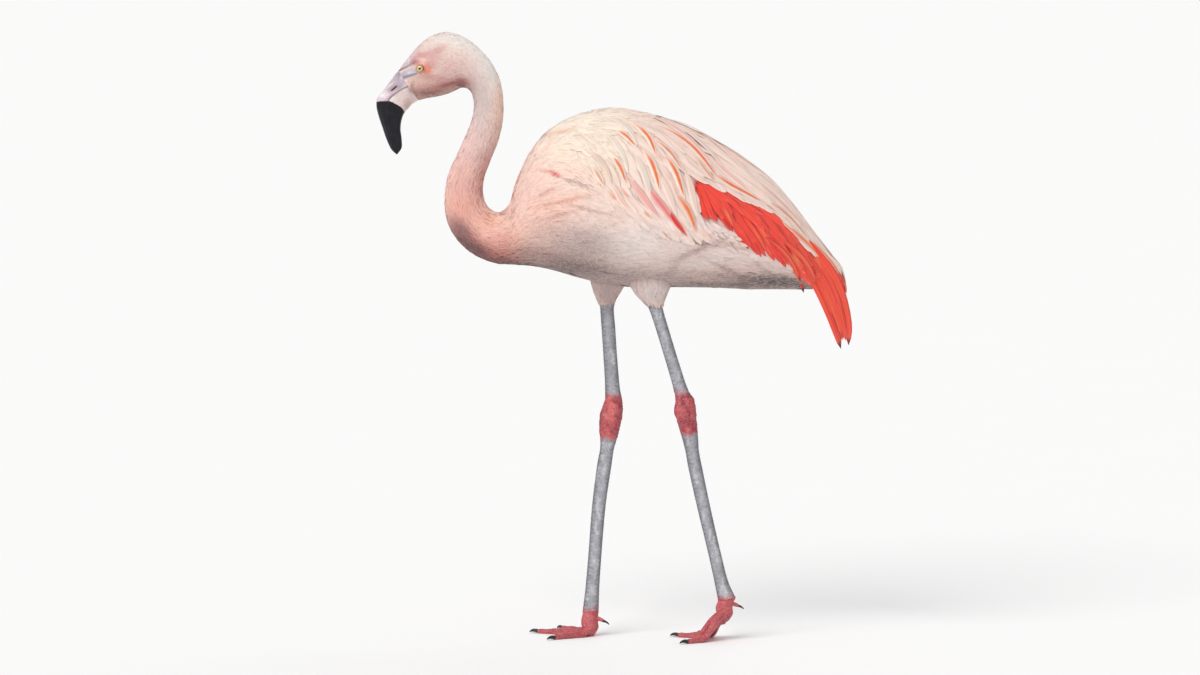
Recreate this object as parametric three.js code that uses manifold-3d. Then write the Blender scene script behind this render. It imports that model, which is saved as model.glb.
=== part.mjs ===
// A life-size standing flamingo (Chilean flamingo, adult, walking pose), in millimetres, +Z up.
// The bird faces -X. Its left side faces -Y and its right side faces +Y. The floor is Z = 0, and the origin is on the
// floor under the middle of the bird's bounding box.
//
// The body is lofted whole through side-view stations, each a dorsal point, a ventral point and a half width, and is then
// parted into head, bill, neck lengths, trunk, wings, plumes and tail by thin cuts. Legs, toes and webs are swept.
import * as THREE from "three";
import { mergeVertices } from "three/addons/utils/BufferGeometryUtils.js";
import Module from "manifold-3d";

const wasm = await Module();
wasm.setup();

// ---------------------------------------------------------------- driving dimensions
const GAP = 0.35; // the thin cut between neighbouring pieces
const MIDDLE_X = 2.2; // the stations below are measured from a point this far in front of the bird's middle
const HIP_Y = 36; // each leg's distance from the middle plane, at the thigh
const FOOT_Y = 21; // and at the foot
const EYE_R = 7.2; // eyeball
const EYE_AT = [-286.5, 16.4, 857.4]; // centre of the right eyeball
const TOE_R = 7.2; // toe root radius
const WEB_T = 2.6; // web thickness
const MIDDLE_TOE = 86, OUTER_TOE = 76, INNER_TOE = 66, HIND_TOE = 15; // lengths without the claws
const CLAW = 12;
const TOE_FLAT = 0.86, SOLE = 0.9; // toes are a little flattened, and their pads are pressed flat by this much

// ---------------------------------------------------------------- shape helpers
// A closed solid from a geometry, turned the right way out.
function solid(geometry) {
  const g = geometry.clone();
  g.deleteAttribute("normal");
  g.deleteAttribute("uv");
  const m = mergeVertices(g, 1e-3);
  const p = m.attributes.position.array, t = Uint32Array.from(m.index.array);
  let v = 0;
  for (let i = 0; i < t.length; i += 3) {
    const [a, b, c] = [t[i] * 3, t[i + 1] * 3, t[i + 2] * 3];
    v += p[a] * (p[b + 1] * p[c + 2] - p[b + 2] * p[c + 1]) - p[a + 1] * (p[b] * p[c + 2] - p[b + 2] * p[c]) + p[a + 2] * (p[b] * p[c + 1] - p[b + 1] * p[c]);
  }
  if (v < 0) for (let i = 0; i < t.length; i += 3) [t[i + 1], t[i + 2]] = [t[i + 2], t[i + 1]];
  const keep = [];
  for (let i = 0; i < t.length; i += 3) if (t[i] !== t[i + 1] && t[i + 1] !== t[i + 2] && t[i] !== t[i + 2]) keep.push(t[i], t[i + 1], t[i + 2]);
  return new wasm.Manifold(new wasm.Mesh({ numProp: 3, vertProperties: Float32Array.from(p), triVerts: Uint32Array.from(keep) }));
}

// The largest body of a solid, without slivers or hair-thin facets left by a cut.
const whole = (s) => s.simplify(0.03).decompose().sort((a, b) => b.volume() - a.volume())[0];

// A table column as a smooth function of t in 0..1, one curve through three columns at a time.
function columns(rows, at) {
  return new THREE.CatmullRomCurve3(rows.map((r) => new THREE.Vector3(...at.map((i) => r[i] ?? 0))), false, "centripetal");
}

// A body lofted through stations [dorsal x, dorsal z, ventral x, ventral z, half width, widest level, top, bottom, y].
// The widest level is a share of the height, and top and bottom set how full the section is there (1 is round).
function loft(rows, { sides = 24, steps = 24, from = 0, to = 1, grow = 0, y = [0, 0] } = {}) {
  const dorsal = columns(rows, [0, 1]), ventral = columns(rows, [2, 3]), form = columns(rows.map((r) => [r[4], r[5] ?? 0.5, 0]), [0, 1]);
  const full = columns(rows.map((r) => [r[6] ?? 1, r[7] ?? 1]), [0, 1]);
  const g = new THREE.CylinderGeometry(1, 1, 1, sides, steps), p = g.attributes.position;
  for (let i = 0; i < p.count; i++) {
    const t = from + (to - from) * (0.5 - p.getY(i));
    const d = dorsal.getPoint(t), v = ventral.getPoint(t), f = form.getPoint(t), e = full.getPoint(t);
    const up = new THREE.Vector2(d.x - v.x, d.y - v.y), h = up.length();
    up.normalize();
    const cx = v.x + (d.x - v.x) * f.y, cz = v.y + (d.y - v.y) * f.y;
    const r = Math.hypot(p.getX(i), p.getZ(i)), phi = Math.atan2(p.getZ(i), p.getX(i));
    const power = (c, k) => Math.sign(c) * Math.abs(c) ** k;
    const b = power(Math.sin(phi), 1), a = power(Math.cos(phi), b > 0 ? e.x : e.y) * r;
    const reach = (b > 0 ? h * (1 - f.y) : h * f.y) + grow;
    p.setXYZ(i, cx + up.x * b * r * reach, a * (f.x + grow) + y[0] + (y[1] - y[0]) * t, cz + up.y * b * r * reach);
  }
  return solid(g);
}

// A side-view outline [x, z] extruded across from y0 to y1. A smooth outline runs through its points.
function cutter(points, y0, y1, smooth = false) {
  const s = new THREE.Shape(smooth ? new THREE.CatmullRomCurve3(points.map(([x, z]) => new THREE.Vector3(x, z, 0)), true, "centripetal").getPoints(points.length * 3).slice(0, -1).map((q) => new THREE.Vector2(q.x, q.y)) : points.map(([x, z]) => new THREE.Vector2(x, z)));
  const g = new THREE.ExtrudeGeometry(s, { depth: y1 - y0, bevelEnabled: false, steps: 1 });
  g.rotateX(Math.PI / 2); // (x, y, depth) to (x, -depth, y)
  g.translate(0, y1, 0);
  return solid(g);
}

// A top-view outline [x, y] extruded from z0 to z1.
function cutterDown(points, z0, z1) {
  const g = new THREE.ExtrudeGeometry(new THREE.Shape(points.map(([x, y]) => new THREE.Vector2(x, y))), { depth: z1 - z0, bevelEnabled: false, steps: 1 });
  g.translate(0, 0, z0);
  return solid(g);
}

// A blade, toe or shaft swept along a path, with half width and half thickness as functions of t. Its flat lies across `side`.
function blade(path, halfWidth, halfThick, side, { sides = 8, steps = 8, cup = 0 } = {}) {
  const curve = new THREE.CatmullRomCurve3(path.map((q) => new THREE.Vector3(...q)), false, "centripetal");
  const g = new THREE.CylinderGeometry(1, 1, 1, sides, steps), p = g.attributes.position, across = new THREE.Vector3(...side).normalize();
  for (let i = 0; i < p.count; i++) {
    const t = 0.5 - p.getY(i), c = curve.getPoint(t), along = curve.getTangent(t);
    const out = new THREE.Vector3().crossVectors(along, across).normalize(), wide = new THREE.Vector3().crossVectors(out, along).normalize();
    const a = p.getX(i), b = p.getZ(i);
    c.addScaledVector(wide, a * halfWidth(t)).addScaledVector(out, b * halfThick(t) - cup * a * a * halfWidth(t));
    p.setXYZ(i, c.x, c.y, c.z);
  }
  return solid(g);
}

// ---------------------------------------------------------------- stations of the bird, side view
// bill tip to nape: [dorsal x, dorsal z, ventral x, ventral z, half width, widest level, top fullness, bottom fullness]
const HEAD = [
  [-323.4, 728.6, -321.4, 729.4, 1.6, 0.5],
  [-331.0, 736.0, -315.6, 738.0, 5.2, 0.5, 1.1, 1],
  [-337.8, 750.2, -315.4, 751.4, 8.2, 0.46, 1.15, 0.95],
  [-344.2, 768.9, -317.0, 766.3, 10.6, 0.46, 1.15, 0.9],
  [-349.6, 785.3, -315.4, 779.7, 12.8, 0.46, 1.15, 0.85],
  [-353.0, 800.3, -311.0, 790.9, 14.4, 0.45, 1.1, 0.85],
  [-351.8, 812.3, -304.6, 797.9, 15.0, 0.44, 1.05, 0.85],
  [-343.0, 823.3, -301.0, 802.5, 15.0, 0.44, 1, 0.85],
  [-332.4, 837.7, -297.0, 805.4, 15.2, 0.46, 1, 0.85],
  [-321.8, 851.9, -291.0, 808.6, 16.6, 0.5, 0.95, 0.85],
  [-307.8, 869.7, -278.4, 812.3, 19.6, 0.52, 0.9, 0.9],
  [-291.4, 889.3, -263.4, 814.8, 22.4, 0.54, 0.9, 0.95],
  [-272.0, 904.5, -248.4, 818.6, 24.4, 0.56, 0.9, 1],
  [-251.0, 911.1, -235.4, 823.8, 24.8, 0.58, 0.92, 1],
  [-230.0, 907.1, -226.4, 828.1, 23.8, 0.56, 0.95, 1],
  [-210.2, 895.7, -217.6, 827.1, 22.4, 0.54],
  [-191.6, 878.5, -212.0, 822.3, 21.2, 0.52],
  [-177.4, 858.7, -208.6, 813.1, 20.6, 0.5],
  [-167.8, 836.5, -207.4, 802.5, 20.4, 0.5],
];
// nape to the root of the neck
const NECK = [
  [-167.8, 836.5, -207.4, 802.5, 20.4, 0.5],
  [-164.0, 810.7, -209.0, 786.3, 20.6, 0.5],
  [-164.2, 782.7, -214.2, 770.7, 21.0, 0.5],
  [-170.8, 750.7, -222.6, 750.7, 21.8, 0.5],
  [-183.6, 718.3, -236.0, 722.3, 22.8, 0.5],
  [-193.2, 690.3, -247.4, 694.1, 24.2, 0.5],
  [-194.0, 667.1, -251.4, 660.3, 26.2, 0.5],
  [-187.8, 651.1, -247.8, 628.1, 29.2, 0.5],
  [-178.4, 643.5, -232.0, 599.9, 32.4, 0.5],
  [-169.0, 641.5, -207.2, 578.3, 35.6, 0.5],
  [-161.4, 646.3, -175.4, 565.7, 39.2, 0.49],
  [-153.4, 656.7, -152.0, 564.1, 44.0, 0.47],
];
// root of the neck to the tips over the tail, the whole outline with the folded wings
const BODY = [
  [-153.4, 656.7, -152.0, 564.1, 44.0, 0.47],
  [-147.6, 678.7, -141.0, 563.3, 52.0, 0.46, 1, 1],
  [-138.0, 704.7, -127.4, 562.5, 61.0, 0.46, 1, 1],
  [-122.6, 734.7, -108.0, 559.7, 72.0, 0.46, 1, 1],
  [-98.0, 763.1, -84.0, 554.1, 84.0, 0.47, 1, 0.95],
  [-57.0, 786.7, -50.0, 544.3, 95.0, 0.48, 1, 0.92],
  [-4.0, 798.1, -3.0, 533.3, 101.0, 0.48, 1, 0.92],
  [48.0, 791.3, 48.0, 529.7, 102.0, 0.48, 1.02, 0.92],
  [100.0, 774.7, 100.0, 530.3, 99.0, 0.47, 1.05, 0.95],
  [150.0, 749.5, 150.0, 529.5, 91.0, 0.46, 1.1, 1],
  [196.0, 720.7, 196.0, 527.5, 79.0, 0.46, 1.15, 1.02],
  [238.0, 687.7, 238.0, 527.7, 65.0, 0.46, 1.2, 1.05],
  [273.0, 646.7, 272.0, 527.3, 50.0, 0.46, 1.2, 1.1],
  [301.0, 607.7, 298.0, 527.3, 36.0, 0.47, 1.2, 1.1],
  [322.0, 577.7, 315.0, 529.7, 24.0, 0.48, 1.1, 1.1],
  [334.0, 555.7, 326.0, 538.7, 9.0, 0.5],
];
// how much of that outline the trunk keeps under the wings: [share of the height, share of the width]
const UNDER = [1, 1, 1, 0.985, 0.955, 0.925, 0.9, 0.89, 0.88, 0.86, 0.83, 0.78, 0.7, 0.6, 0.5, 0.4];
const CORE = BODY.map(([dx, dz, vx, vz, w, k, top, bottom], i) => {
  const s = UNDER[i];
  return [vx + (dx - vx) * s, vz + (dz - vz) * s, vx, vz + (i > 13 ? 2 : 0), w * (s ** 1.35), k, top, bottom];
});

// ---------------------------------------------------------------- head, bill and eyes
const headWhole = loft(HEAD, { sides: 14, steps: 26 });
const UP = 1000, OUT = 60;
// The gape line, from the corner of the mouth to the bill's tip.
const GAPE = [[-298.5, 832.3], [-312.0, 828.7], [-325.0, 820.3], [-334.4, 811.3], [-339.0, 799.3], [-339.4, 784.3], [-336.4, 767.3], [-331.0, 749.3], [-326.0, 735.7], [-324.2, 722.7]];
const shifted = (line, dx, dz) => line.map(([x, z]) => [x + dx, z + dz]);
const upperMask = cutter([[-400, 852.5], [-323.4, 853.3], [-311.5, 835.3], ...shifted(GAPE.slice(1), -0.18, 0.15), [-400, 722.7]], -OUT, OUT);
const lowerMask = cutter([[-297.8, 831.7], ...shifted(GAPE.slice(1), 0.18, -0.15), [-280, 722.7], [-280, 792.7], [-292.8, 802.7], [-292.6, 810.7]], -OUT, OUT);
const upperRoom = cutter([[-400, 852.8], [-322.9, 853.6], [-310.9, 835.6], [-310.6, 828.9], [-330, 802.7], [-400, 722.7]], -OUT, OUT);
const lowerRoom = cutter([[-297.2, 832.3], [-312.0, 829.3], [-345, 802.7], [-324, 722.7], [-279.6, 722.7], [-279.6, 792.7], [-292.3, 802.7], [-292.1, 810.7]], -OUT, OUT);
const upperBill = whole(headWhole.intersect(upperMask));
const lowerBill = whole(headWhole.intersect(lowerMask));
const eyeAt = (side, r = EYE_R, w = 10, h = 6) => solid(new THREE.SphereGeometry(r, w, h).rotateX(Math.PI / 2).translate(EYE_AT[0], side * EYE_AT[1], EYE_AT[2]));
let head = headWhole.subtract(upperRoom).subtract(lowerRoom).subtract(eyeAt(1, EYE_R + GAP)).subtract(eyeAt(-1, EYE_R + GAP));
head = whole(head);

// ---------------------------------------------------------------- neck, in four lengths
const NECK_PARTS = 4;
const neck = Array.from({ length: NECK_PARTS }, (_, i) => {
  const slack = 0.0009; // about GAP of the neck's length between two lengths
  return loft(NECK, { sides: 14, steps: 5, from: i / NECK_PARTS + slack, to: (i + 1) / NECK_PARTS - slack });
});

// ---------------------------------------------------------------- trunk, wings, plumes, tail
const envelope = loft(BODY, { sides: 20, steps: 16 });
const wingForm = loft(BODY, { sides: 16, steps: 13, grow: 2.6 });
const core = loft(CORE, { sides: 16, steps: 10 });
const coreRoom = loft(CORE, { sides: 16, steps: 10, grow: GAP });
// The wing's lower edge in side view, from the wrist back, with the covert tips as shallow scallops.
function scalloped(a, b, count, deep) {
  const made = [];
  for (let i = 0; i < count; i++)
    for (const [u, d] of [[0, 0], [0.5, 1]]) {
      const t = (i + u) / count, nx = b[1] - a[1], nz = a[0] - b[0], n = Math.hypot(nx, nz);
      made.push([a[0] + (b[0] - a[0]) * t + (nx / n) * d * deep * -1, a[1] + (b[1] - a[1]) * t + (nz / n) * d * deep * -1]);
    }
  return made;
}
const WRIST = [-106, 704.7];
const COVERT_EDGE = [WRIST, [-88, 691.7], [-50, 684.7], [-15, 676.7], [15, 655.7], [45, 627.7], [78, 608.7]];
const TIP = [112, 600.7];
const wingSide = cutter([[-60, 832.7], [-92, 762.7], [-104, 730.7], ...COVERT_EDGE, TIP, [121, 624.7], ...scalloped([119, 642.7], [114, 684.7], 3, -3), [180, 670.7], [236, 642.7], [288, 606.7], [331, 560.7], [360, 562.7], [360, 832.7]], -200, 200);
const plumeSide = cutter([[114.6, 684.1], [180.4, 670.1], [236.4, 642.1], [288, 605.9], [330, 561.1], [332, 542.7], [316, 536.7], [290, 547.7], [262, 564.7], [228, 573.7], [197, 592.7], [165, 623.7], [126, 632.7], [119.6, 642.7]], -200, 200);
const notMiddle = (side) => cutterDown([[-140, 62], [-60, 58], [-10, 44], [40, 26], [90, 9], [120, 0.3], [380, 0.3], [380, 220], [-140, 220]].map(([x, y]) => [x, y * side]), 400, 900);
const wingSideRoom = [[GAP, 0], [0, -GAP], [0.26, -0.26]].reduce((room, [dx, dz]) => room.add(wingSide.translate([dx, 0, dz])), wingSide);
const side = (s) => {
  const room = notMiddle(s);
  const wing = whole(wingForm.intersect(wingSide).intersect(room).subtract(coreRoom));
  const plumes = whole(wingForm.intersect(plumeSide).subtract(wingSideRoom).intersect(room).subtract(coreRoom));
  return { wing, plumes };
};
const right = side(1), left = side(-1);
// What the wings and plumes take from the outline.
const wingRoomSide = cutter([[-60.4, 834.7], [-92.5, 762.7], [-104.5, 730.7], [WRIST[0] - 0.5, WRIST[1] - 0.3], ...shifted(COVERT_EDGE.slice(1), -0.2, -0.45), [TIP[0] + 0.4, TIP[1] - 0.4], [121.5, 624.7], [125.8, 632.3], [165, 623.3], [196.8, 592.3], [228, 573.2], [262, 564.2], [290, 547.2], [316, 536.1], [333, 541.7], [380, 562.7], [380, 834.7]], -200, 200);
const takenBy = (s) => wingRoomSide.intersect(cutterDown([[-140.5, 61.6], [-60, 57.6], [-10.2, 43.6], [39.8, 25.6], [89.8, 8.6], [119.8, -0.1], [380, -0.1], [380, 221], [-140.5, 221]].map(([x, y]) => [x, y * s]), 400, 900));
const trunkAll = envelope.subtract(takenBy(1)).subtract(takenBy(-1)).add(core);
// The tail and its coverts behind a slanting cut.
const tailMask = cutter([[216, 740], [202, 500], [420, 500], [420, 740]], -200, 200);
const tailRoom = cutter([[215.6, 740], [201.6, 500], [420, 500], [420, 740]], -200, 200);
let trunk = trunkAll.subtract(tailRoom);
const tail = whole(trunkAll.intersect(tailMask));

// Long drooping plumes over the tail: [root x, root z, tip x, tip z, y at the root, y at the tip, half width]
const PLUMES = [
  [240, 650, 352.0, 444.5, 20, 13, 8.6],
  [264, 622, 340.5, 438.0, 27, 19, 9.0],
  [228, 640, 356.5, 466.0, 12, 8, 8.0],
  [225, 609, 302.0, 524.0, 40, 34, 7.5],
];
function plume([x0, z0, x1, z1, y0, y1, w], s) {
  const path = [[x0, y0 * s, z0], [x0 + (x1 - x0) * 0.52, (y0 + (y1 - y0) * 0.4) * s, z0 + (z1 - z0) * 0.22], [x0 + (x1 - x0) * 0.86, (y0 + (y1 - y0) * 0.75) * s, z0 + (z1 - z0) * 0.56], [x1, y1 * s, z1]];
  return blade(path, (t) => w * Math.min(1, 0.55 + t * 2) * Math.sqrt(Math.max(0.004, 1 - t ** 3.2)) + 0.5, (t) => 1.5 - 0.8 * t, [0, -0.35 * s, 1].map((c, i) => (i === 0 ? 0.6 : c)), { sides: 6, steps: 6, cup: 0.12 });
}
function withPlumes(base, s, others) {
  let made = base;
  for (const p of PLUMES) made = made.add(others.reduce((blade, o) => blade.subtract(o), plume(p, s)));
  return whole(made);
}

// ---------------------------------------------------------------- legs
// Each leg: thigh, shank, ankle and tarsus as side-view stations [front x, front z, back x, back z, half width].
const FORE = {
  y: [HIP_Y, FOOT_Y], // the right leg, which stands forward
  thigh: [[-44, 600, 30, 600, 27], [-40, 560, 25, 558, 24], [-34, 536, 20, 536, 19.5], [-29.5, 520, 13, 521, 14.5], [-23.5, 505, 4, 506, 10], [-19.5, 493, 1.6, 493, 8]],
  shank: [[-19.2, 492.4, 1.4, 492.4, 7.4], [-17.6, 470, 3.2, 470, 6.8], [-14.6, 425, 6.2, 425, 6.6], [-12.0, 372.4, 10.6, 372.4, 7.6]],
  ankle: [[-12.2, 371.8, 10.9, 371.8, 7.8], [-12.8, 356, 13.6, 358, 10.2], [-19.6, 335, 15.2, 340, 12.6], [-21.0, 318, 12.4, 322, 12.0], [-19.4, 301, 7.4, 302, 9.6], [-19.4, 284, 1.6, 283, 7.6]],
  tarsus: [[-19.6, 283.4, 1.2, 282.4, 7.5], [-23.4, 262, -1.8, 260, 6.7], [-31.2, 200, -10.8, 198, 6.2], [-37.4, 120, -17.4, 120, 6.3], [-41.8, 70, -20.6, 70, 7.2], [-46.0, 36, -21.4, 36, 8.8]],
  joint: [-34.5, 13], // where the toes meet
  hock: 36,
};
const HIND = {
  y: [-HIP_Y, -FOOT_Y], // the left leg, which trails
  thigh: [[4, 600, 92, 600, 27], [12, 560, 91, 560, 24], [22, 540, 88, 540, 20], [33, 522, 81, 522, 15], [46, 508, 76, 508, 10.5], [54.8, 496.4, 75.4, 496.4, 8]],
  shank: [[55.0, 495.8, 75.4, 495.6, 7.4], [62.6, 473, 82.4, 472, 6.8], [77.6, 424, 97.6, 422, 6.6], [90.4, 377.4, 113.0, 376.4, 7.6]],
  ankle: [[90.6, 376.8, 113.3, 375.8, 7.8], [92.6, 362, 121.4, 364, 10.2], [91.0, 346, 124.0, 346, 12.6], [96.8, 326, 125.8, 328, 12.0], [103.4, 304, 127.4, 304, 9.6], [107.6, 288, 128.6, 286, 7.6]],
  tarsus: [[107.8, 287.4, 128.8, 285.4, 7.5], [112.4, 262, 133.6, 260, 6.7], [127.0, 196, 147.4, 194, 6.2], [142.4, 132, 162.4, 129, 6.3], [151.6, 90, 173.4, 87, 7.2], [157.4, 60, 184.0, 64, 8.8]],
  joint: [167.5, 41],
  hock: 60,
};
const round = (rows) => rows.map((r) => [...r, 0.5, 1, 1]);
function legY(spec, zTop, zBottom) {
  // each leg leans straight from its hip to its foot
  const y = (z) => spec.y[1] + ((spec.y[0] - spec.y[1]) * Math.max(0, z - 20)) / 560;
  return [y(zTop), y(zBottom)];
}
const legPart = (spec, rows, sides, steps, grow = 0) => loft(round(rows), { sides, steps, grow, y: legY(spec, rows[0][1], rows.at(-1)[1]) });

// Toes run forward, towards -X, turned by `yaw` degrees from straight ahead, positive towards -Y.
// `lift` is how high the toe root stands, and the toe comes down to the floor at a share `down` of its length.
function toePath(spec, length, yaw, lift) {
  const aside = Math.abs(yaw) > 25 ? -4.2 * Math.sign(yaw) : 0.3; // the side toes spring from beside the middle one
  const x0 = spec.joint[0] + Math.abs(aside) * 0.3, y0 = spec.y[1] + aside, a = THREE.MathUtils.degToRad(yaw), path = [];
  const down = lift > 20 ? 0.6 : 0.16;
  for (const t of [-0.05, 0.08, 0.22, 0.36, 0.5, 0.66, 0.82, 1]) {
    const s = Math.min(1, Math.max(0, t) / down), ease = s * s * (3 - 2 * s), reach = t * length * (1 - 0.1 * (lift > 20 ? Math.min(1, s) : 0));
    const flat = toeRadius(Math.max(0, t)) * TOE_FLAT - SOLE; // the toe's middle when its underside is pressed flat on the floor
    path.push([x0 - Math.cos(a) * reach, y0 - Math.sin(a) * reach, lift + (flat - lift) * ease]);
  }
  return path;
}
const toeRadius = (t) => TOE_R * (1 - 0.38 * t) * (1 + 0.07 * Math.cos(t * Math.PI * 6)) * (t > 0.97 ? 0.9 : 1);
function web(a, b, deep) {
  // a thin sheet between two toes, its free edge hollowed
  const g = new THREE.BoxGeometry(1, 1, 1, 3, 3, 1), p = g.attributes.position;
  const ca = new THREE.CatmullRomCurve3(a.map((q) => new THREE.Vector3(...q))), cb = new THREE.CatmullRomCurve3(b.map((q) => new THREE.Vector3(...q)));
  for (let i = 0; i < p.count; i++) {
    const v = p.getY(i) + 0.5, end = 0.86 - deep * 4 * v * (1 - v), u = 0.04 + (p.getX(i) + 0.5) * (end - 0.04);
    const q = ca.getPoint(u).lerp(cb.getPoint(u), v * 1.1 - 0.05);
    const sag = Math.max(0, q.z - 4.4) * 0.35 * 4 * v * (1 - v);
    p.setXYZ(i, q.x, q.y, Math.max(-1, q.z - 3.1 - sag) + (p.getZ(i) + 0.5) * WEB_T + 0.4);
  }
  return solid(g);
}
const floorBox = solid(new THREE.BoxGeometry(1200, 600, 60).translate(0, 0, -30));
function foot(spec, yaws) {
  const lift = spec.joint[1], lengths = [INNER_TOE, MIDDLE_TOE, OUTER_TOE];
  const paths = yaws.map((yaw, i) => toePath(spec, lengths[i], yaw, lift));
  let made = null;
  paths.forEach((path) => {
    const t = blade(path, toeRadius, (u) => toeRadius(u) * TOE_FLAT, [0, 1, 0], { sides: 6, steps: 7 });
    made = made ? made.add(t) : t;
  });
  made = made.add(web(paths[0], paths[1], 0.16)).add(web(paths[1], paths[2], 0.16));
  // the knuckle that joins the toes to the tarsus, and the small raised hind toe
  const [jx, jz] = spec.joint, y = spec.y[1], last = spec.tarsus.at(-1);
  const knuckle = loft([[last[0] + 0.2, spec.hock - 0.4, last[2] - 0.2, last[3] - 0.4, 8.8], [jx - 13.5, jz + 9, jx + 11.5, jz + 12, 10.6], [jx - 12, jz, jx + 12.5, jz, 11.2], [jx - 8, jz - 8, jx + 9, jz - 8, 9.6], [jx - 4.5, jz - 13.6, jx + 5, jz - 13.9, 6.5]].map((r) => [...r, 0.5]), { sides: 8, steps: 4, y: [y, y] });
  made = made.add(knuckle);
  const hx = jx + 9, hz = jz + 13;
  const hind = [[hx - 6, y, hz + 1], [hx + 5, y + (spec.y[1] > 0 ? -2 : 2), hz], [hx + HIND_TOE - 3, y + (spec.y[1] > 0 ? -4 : 4), hz - 3]];
  made = made.add(blade(hind, (t) => 4.2 - 1.4 * t, (t) => 3.8 - 1.2 * t, [0, 1, 0], { sides: 6, steps: 3 }));
  made = whole(made.subtract(floorBox));
  // claws: short, blunt and a little hooked
  const claws = paths.map((path, i) => {
    const tip = path.at(-1), a = THREE.MathUtils.degToRad(yaws[i]), dx = -Math.cos(a), dy = -Math.sin(a);
    const at = (k, z) => [tip[0] + dx * k, tip[1] + dy * k, z];
    return whole(blade([at(GAP + 0.25, 3.3), at(CLAW * 0.35, 3.7), at(CLAW * 0.72, 3.1), at(CLAW, 1.7)], (t) => 3.4 * (1 - t ** 1.6 * 0.78), (t) => 3.0 * (1 - t ** 1.6 * 0.72), [0, 1, 0], { sides: 6, steps: 3 }).subtract(floorBox).subtract(made));
  });
  const h = hind.at(-1), out = spec.y[1] > 0 ? -1 : 1;
  claws.push(whole(blade([[h[0] + 0.55, h[1], h[2] - 0.1], [h[0] + 4, h[1] + out, h[2] - 1.6], [h[0] + 8, h[1] + 2 * out, h[2] - 5]], (t) => 2.4 * (1 - t * 0.75), (t) => 2.2 * (1 - t * 0.7), [0, 1, 0], { sides: 6, steps: 3 }).subtract(made)));
  return { made, claws };
}

const nodes = [];
const put = (name, s, color, roughness) => nodes.push({ name, s: s.translate([-MIDDLE_X, 0, 0]), color, roughness });
const SKIN = 0xeec4b8, PALE = 0xf6e2d8, NECKPINK = 0xe9b3ab, RED = 0xe8503a, BONE = 0xdcc8c4, BLACK = 0x1c1a1e, GREY = 0x9b9298, LEGPINK = 0xd9545c;

put("head", head, SKIN, 0.8);
put("bill_upper", upperBill, BONE, 0.4);
put("bill_lower", lowerBill, BLACK, 0.4);
put("eye_right", eyeAt(1), 0xe8d27a, 0.1);
put("eye_left", eyeAt(-1), 0xe8d27a, 0.1);
neck.forEach((s, i) => put(`neck_${i + 1}`, s, NECKPINK, 0.85));

const legs = [["right", FORE, [32, -20, -54]], ["left", HIND, [-54, -24, 30]]].map(([name, spec, yaws]) => {
  // yaws of the inner, middle and outer toe
  const thighWhole = legPart(spec, spec.thigh, 12, 6);
  const shankLeg = legPart(spec, spec.shank, 10, 4), ankle = legPart(spec, spec.ankle, 10, 8), tarsus = legPart(spec, spec.tarsus, 8, 6);
  return { name, spec, thighWhole, shankLeg, ankle, tarsus, ...foot(spec, yaws) };
});

const bodyRoom = loft(BODY, { sides: 20, steps: 16, grow: GAP + 0.05 });
const underPlumes = cutter([[100, 740], [100, 500], [420, 500], [420, 575], [380, 563], [333, 543.2], [316, 536.9], [290, 547.9], [262, 564.9], [228, 573.9], [197, 592.9], [165, 623.9], [126, 632.9], [121.5, 634]], -200, 200);
for (const leg of legs) {
  put(`thigh_${leg.name}`, whole(leg.thighWhole.subtract(bodyRoom)), PALE, 0.9);
  put(`shank_${leg.name}`, leg.shankLeg, GREY, 0.6);
  put(`ankle_${leg.name}`, leg.ankle, LEGPINK, 0.6);
  put(`tarsus_${leg.name}`, leg.tarsus, GREY, 0.6);
  put(`foot_${leg.name}`, leg.made, LEGPINK, 0.55);
  const names = ["inner", "middle", "outer", "hind"];
  leg.claws.forEach((c, i) => put(`claw_${names[i]}_${leg.name}`, c, BLACK, 0.35));
}
put("trunk", whole(trunk), SKIN, 0.85);
put("tail", tail, PALE, 0.85);
for (const [name, s, half] of [["right", 1, right], ["left", -1, left]]) {
  put(`wing_${name}`, half.wing, PALE, 0.8);
  put(`plumes_${name}`, withPlumes(half.plumes, s, [half.wing, coreRoom, bodyRoom.intersect(underPlumes)]), RED, 0.75);
}

const flamingo = new THREE.Group();
for (const { name, s, color, roughness } of nodes) {
  const m = s.getMesh(), g = new THREE.BufferGeometry();
  g.setAttribute("position", new THREE.BufferAttribute(Float32Array.from(m.vertProperties), 3));
  g.setIndex(new THREE.BufferAttribute(Uint32Array.from(m.triVerts), 1));
  g.computeVertexNormals();
  const mesh = new THREE.Mesh(g, new THREE.MeshStandardMaterial({ color, roughness, metalness: 0 }));
  mesh.name = name;
  flamingo.add(mesh);
}
export default flamingo;
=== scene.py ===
import math

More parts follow.
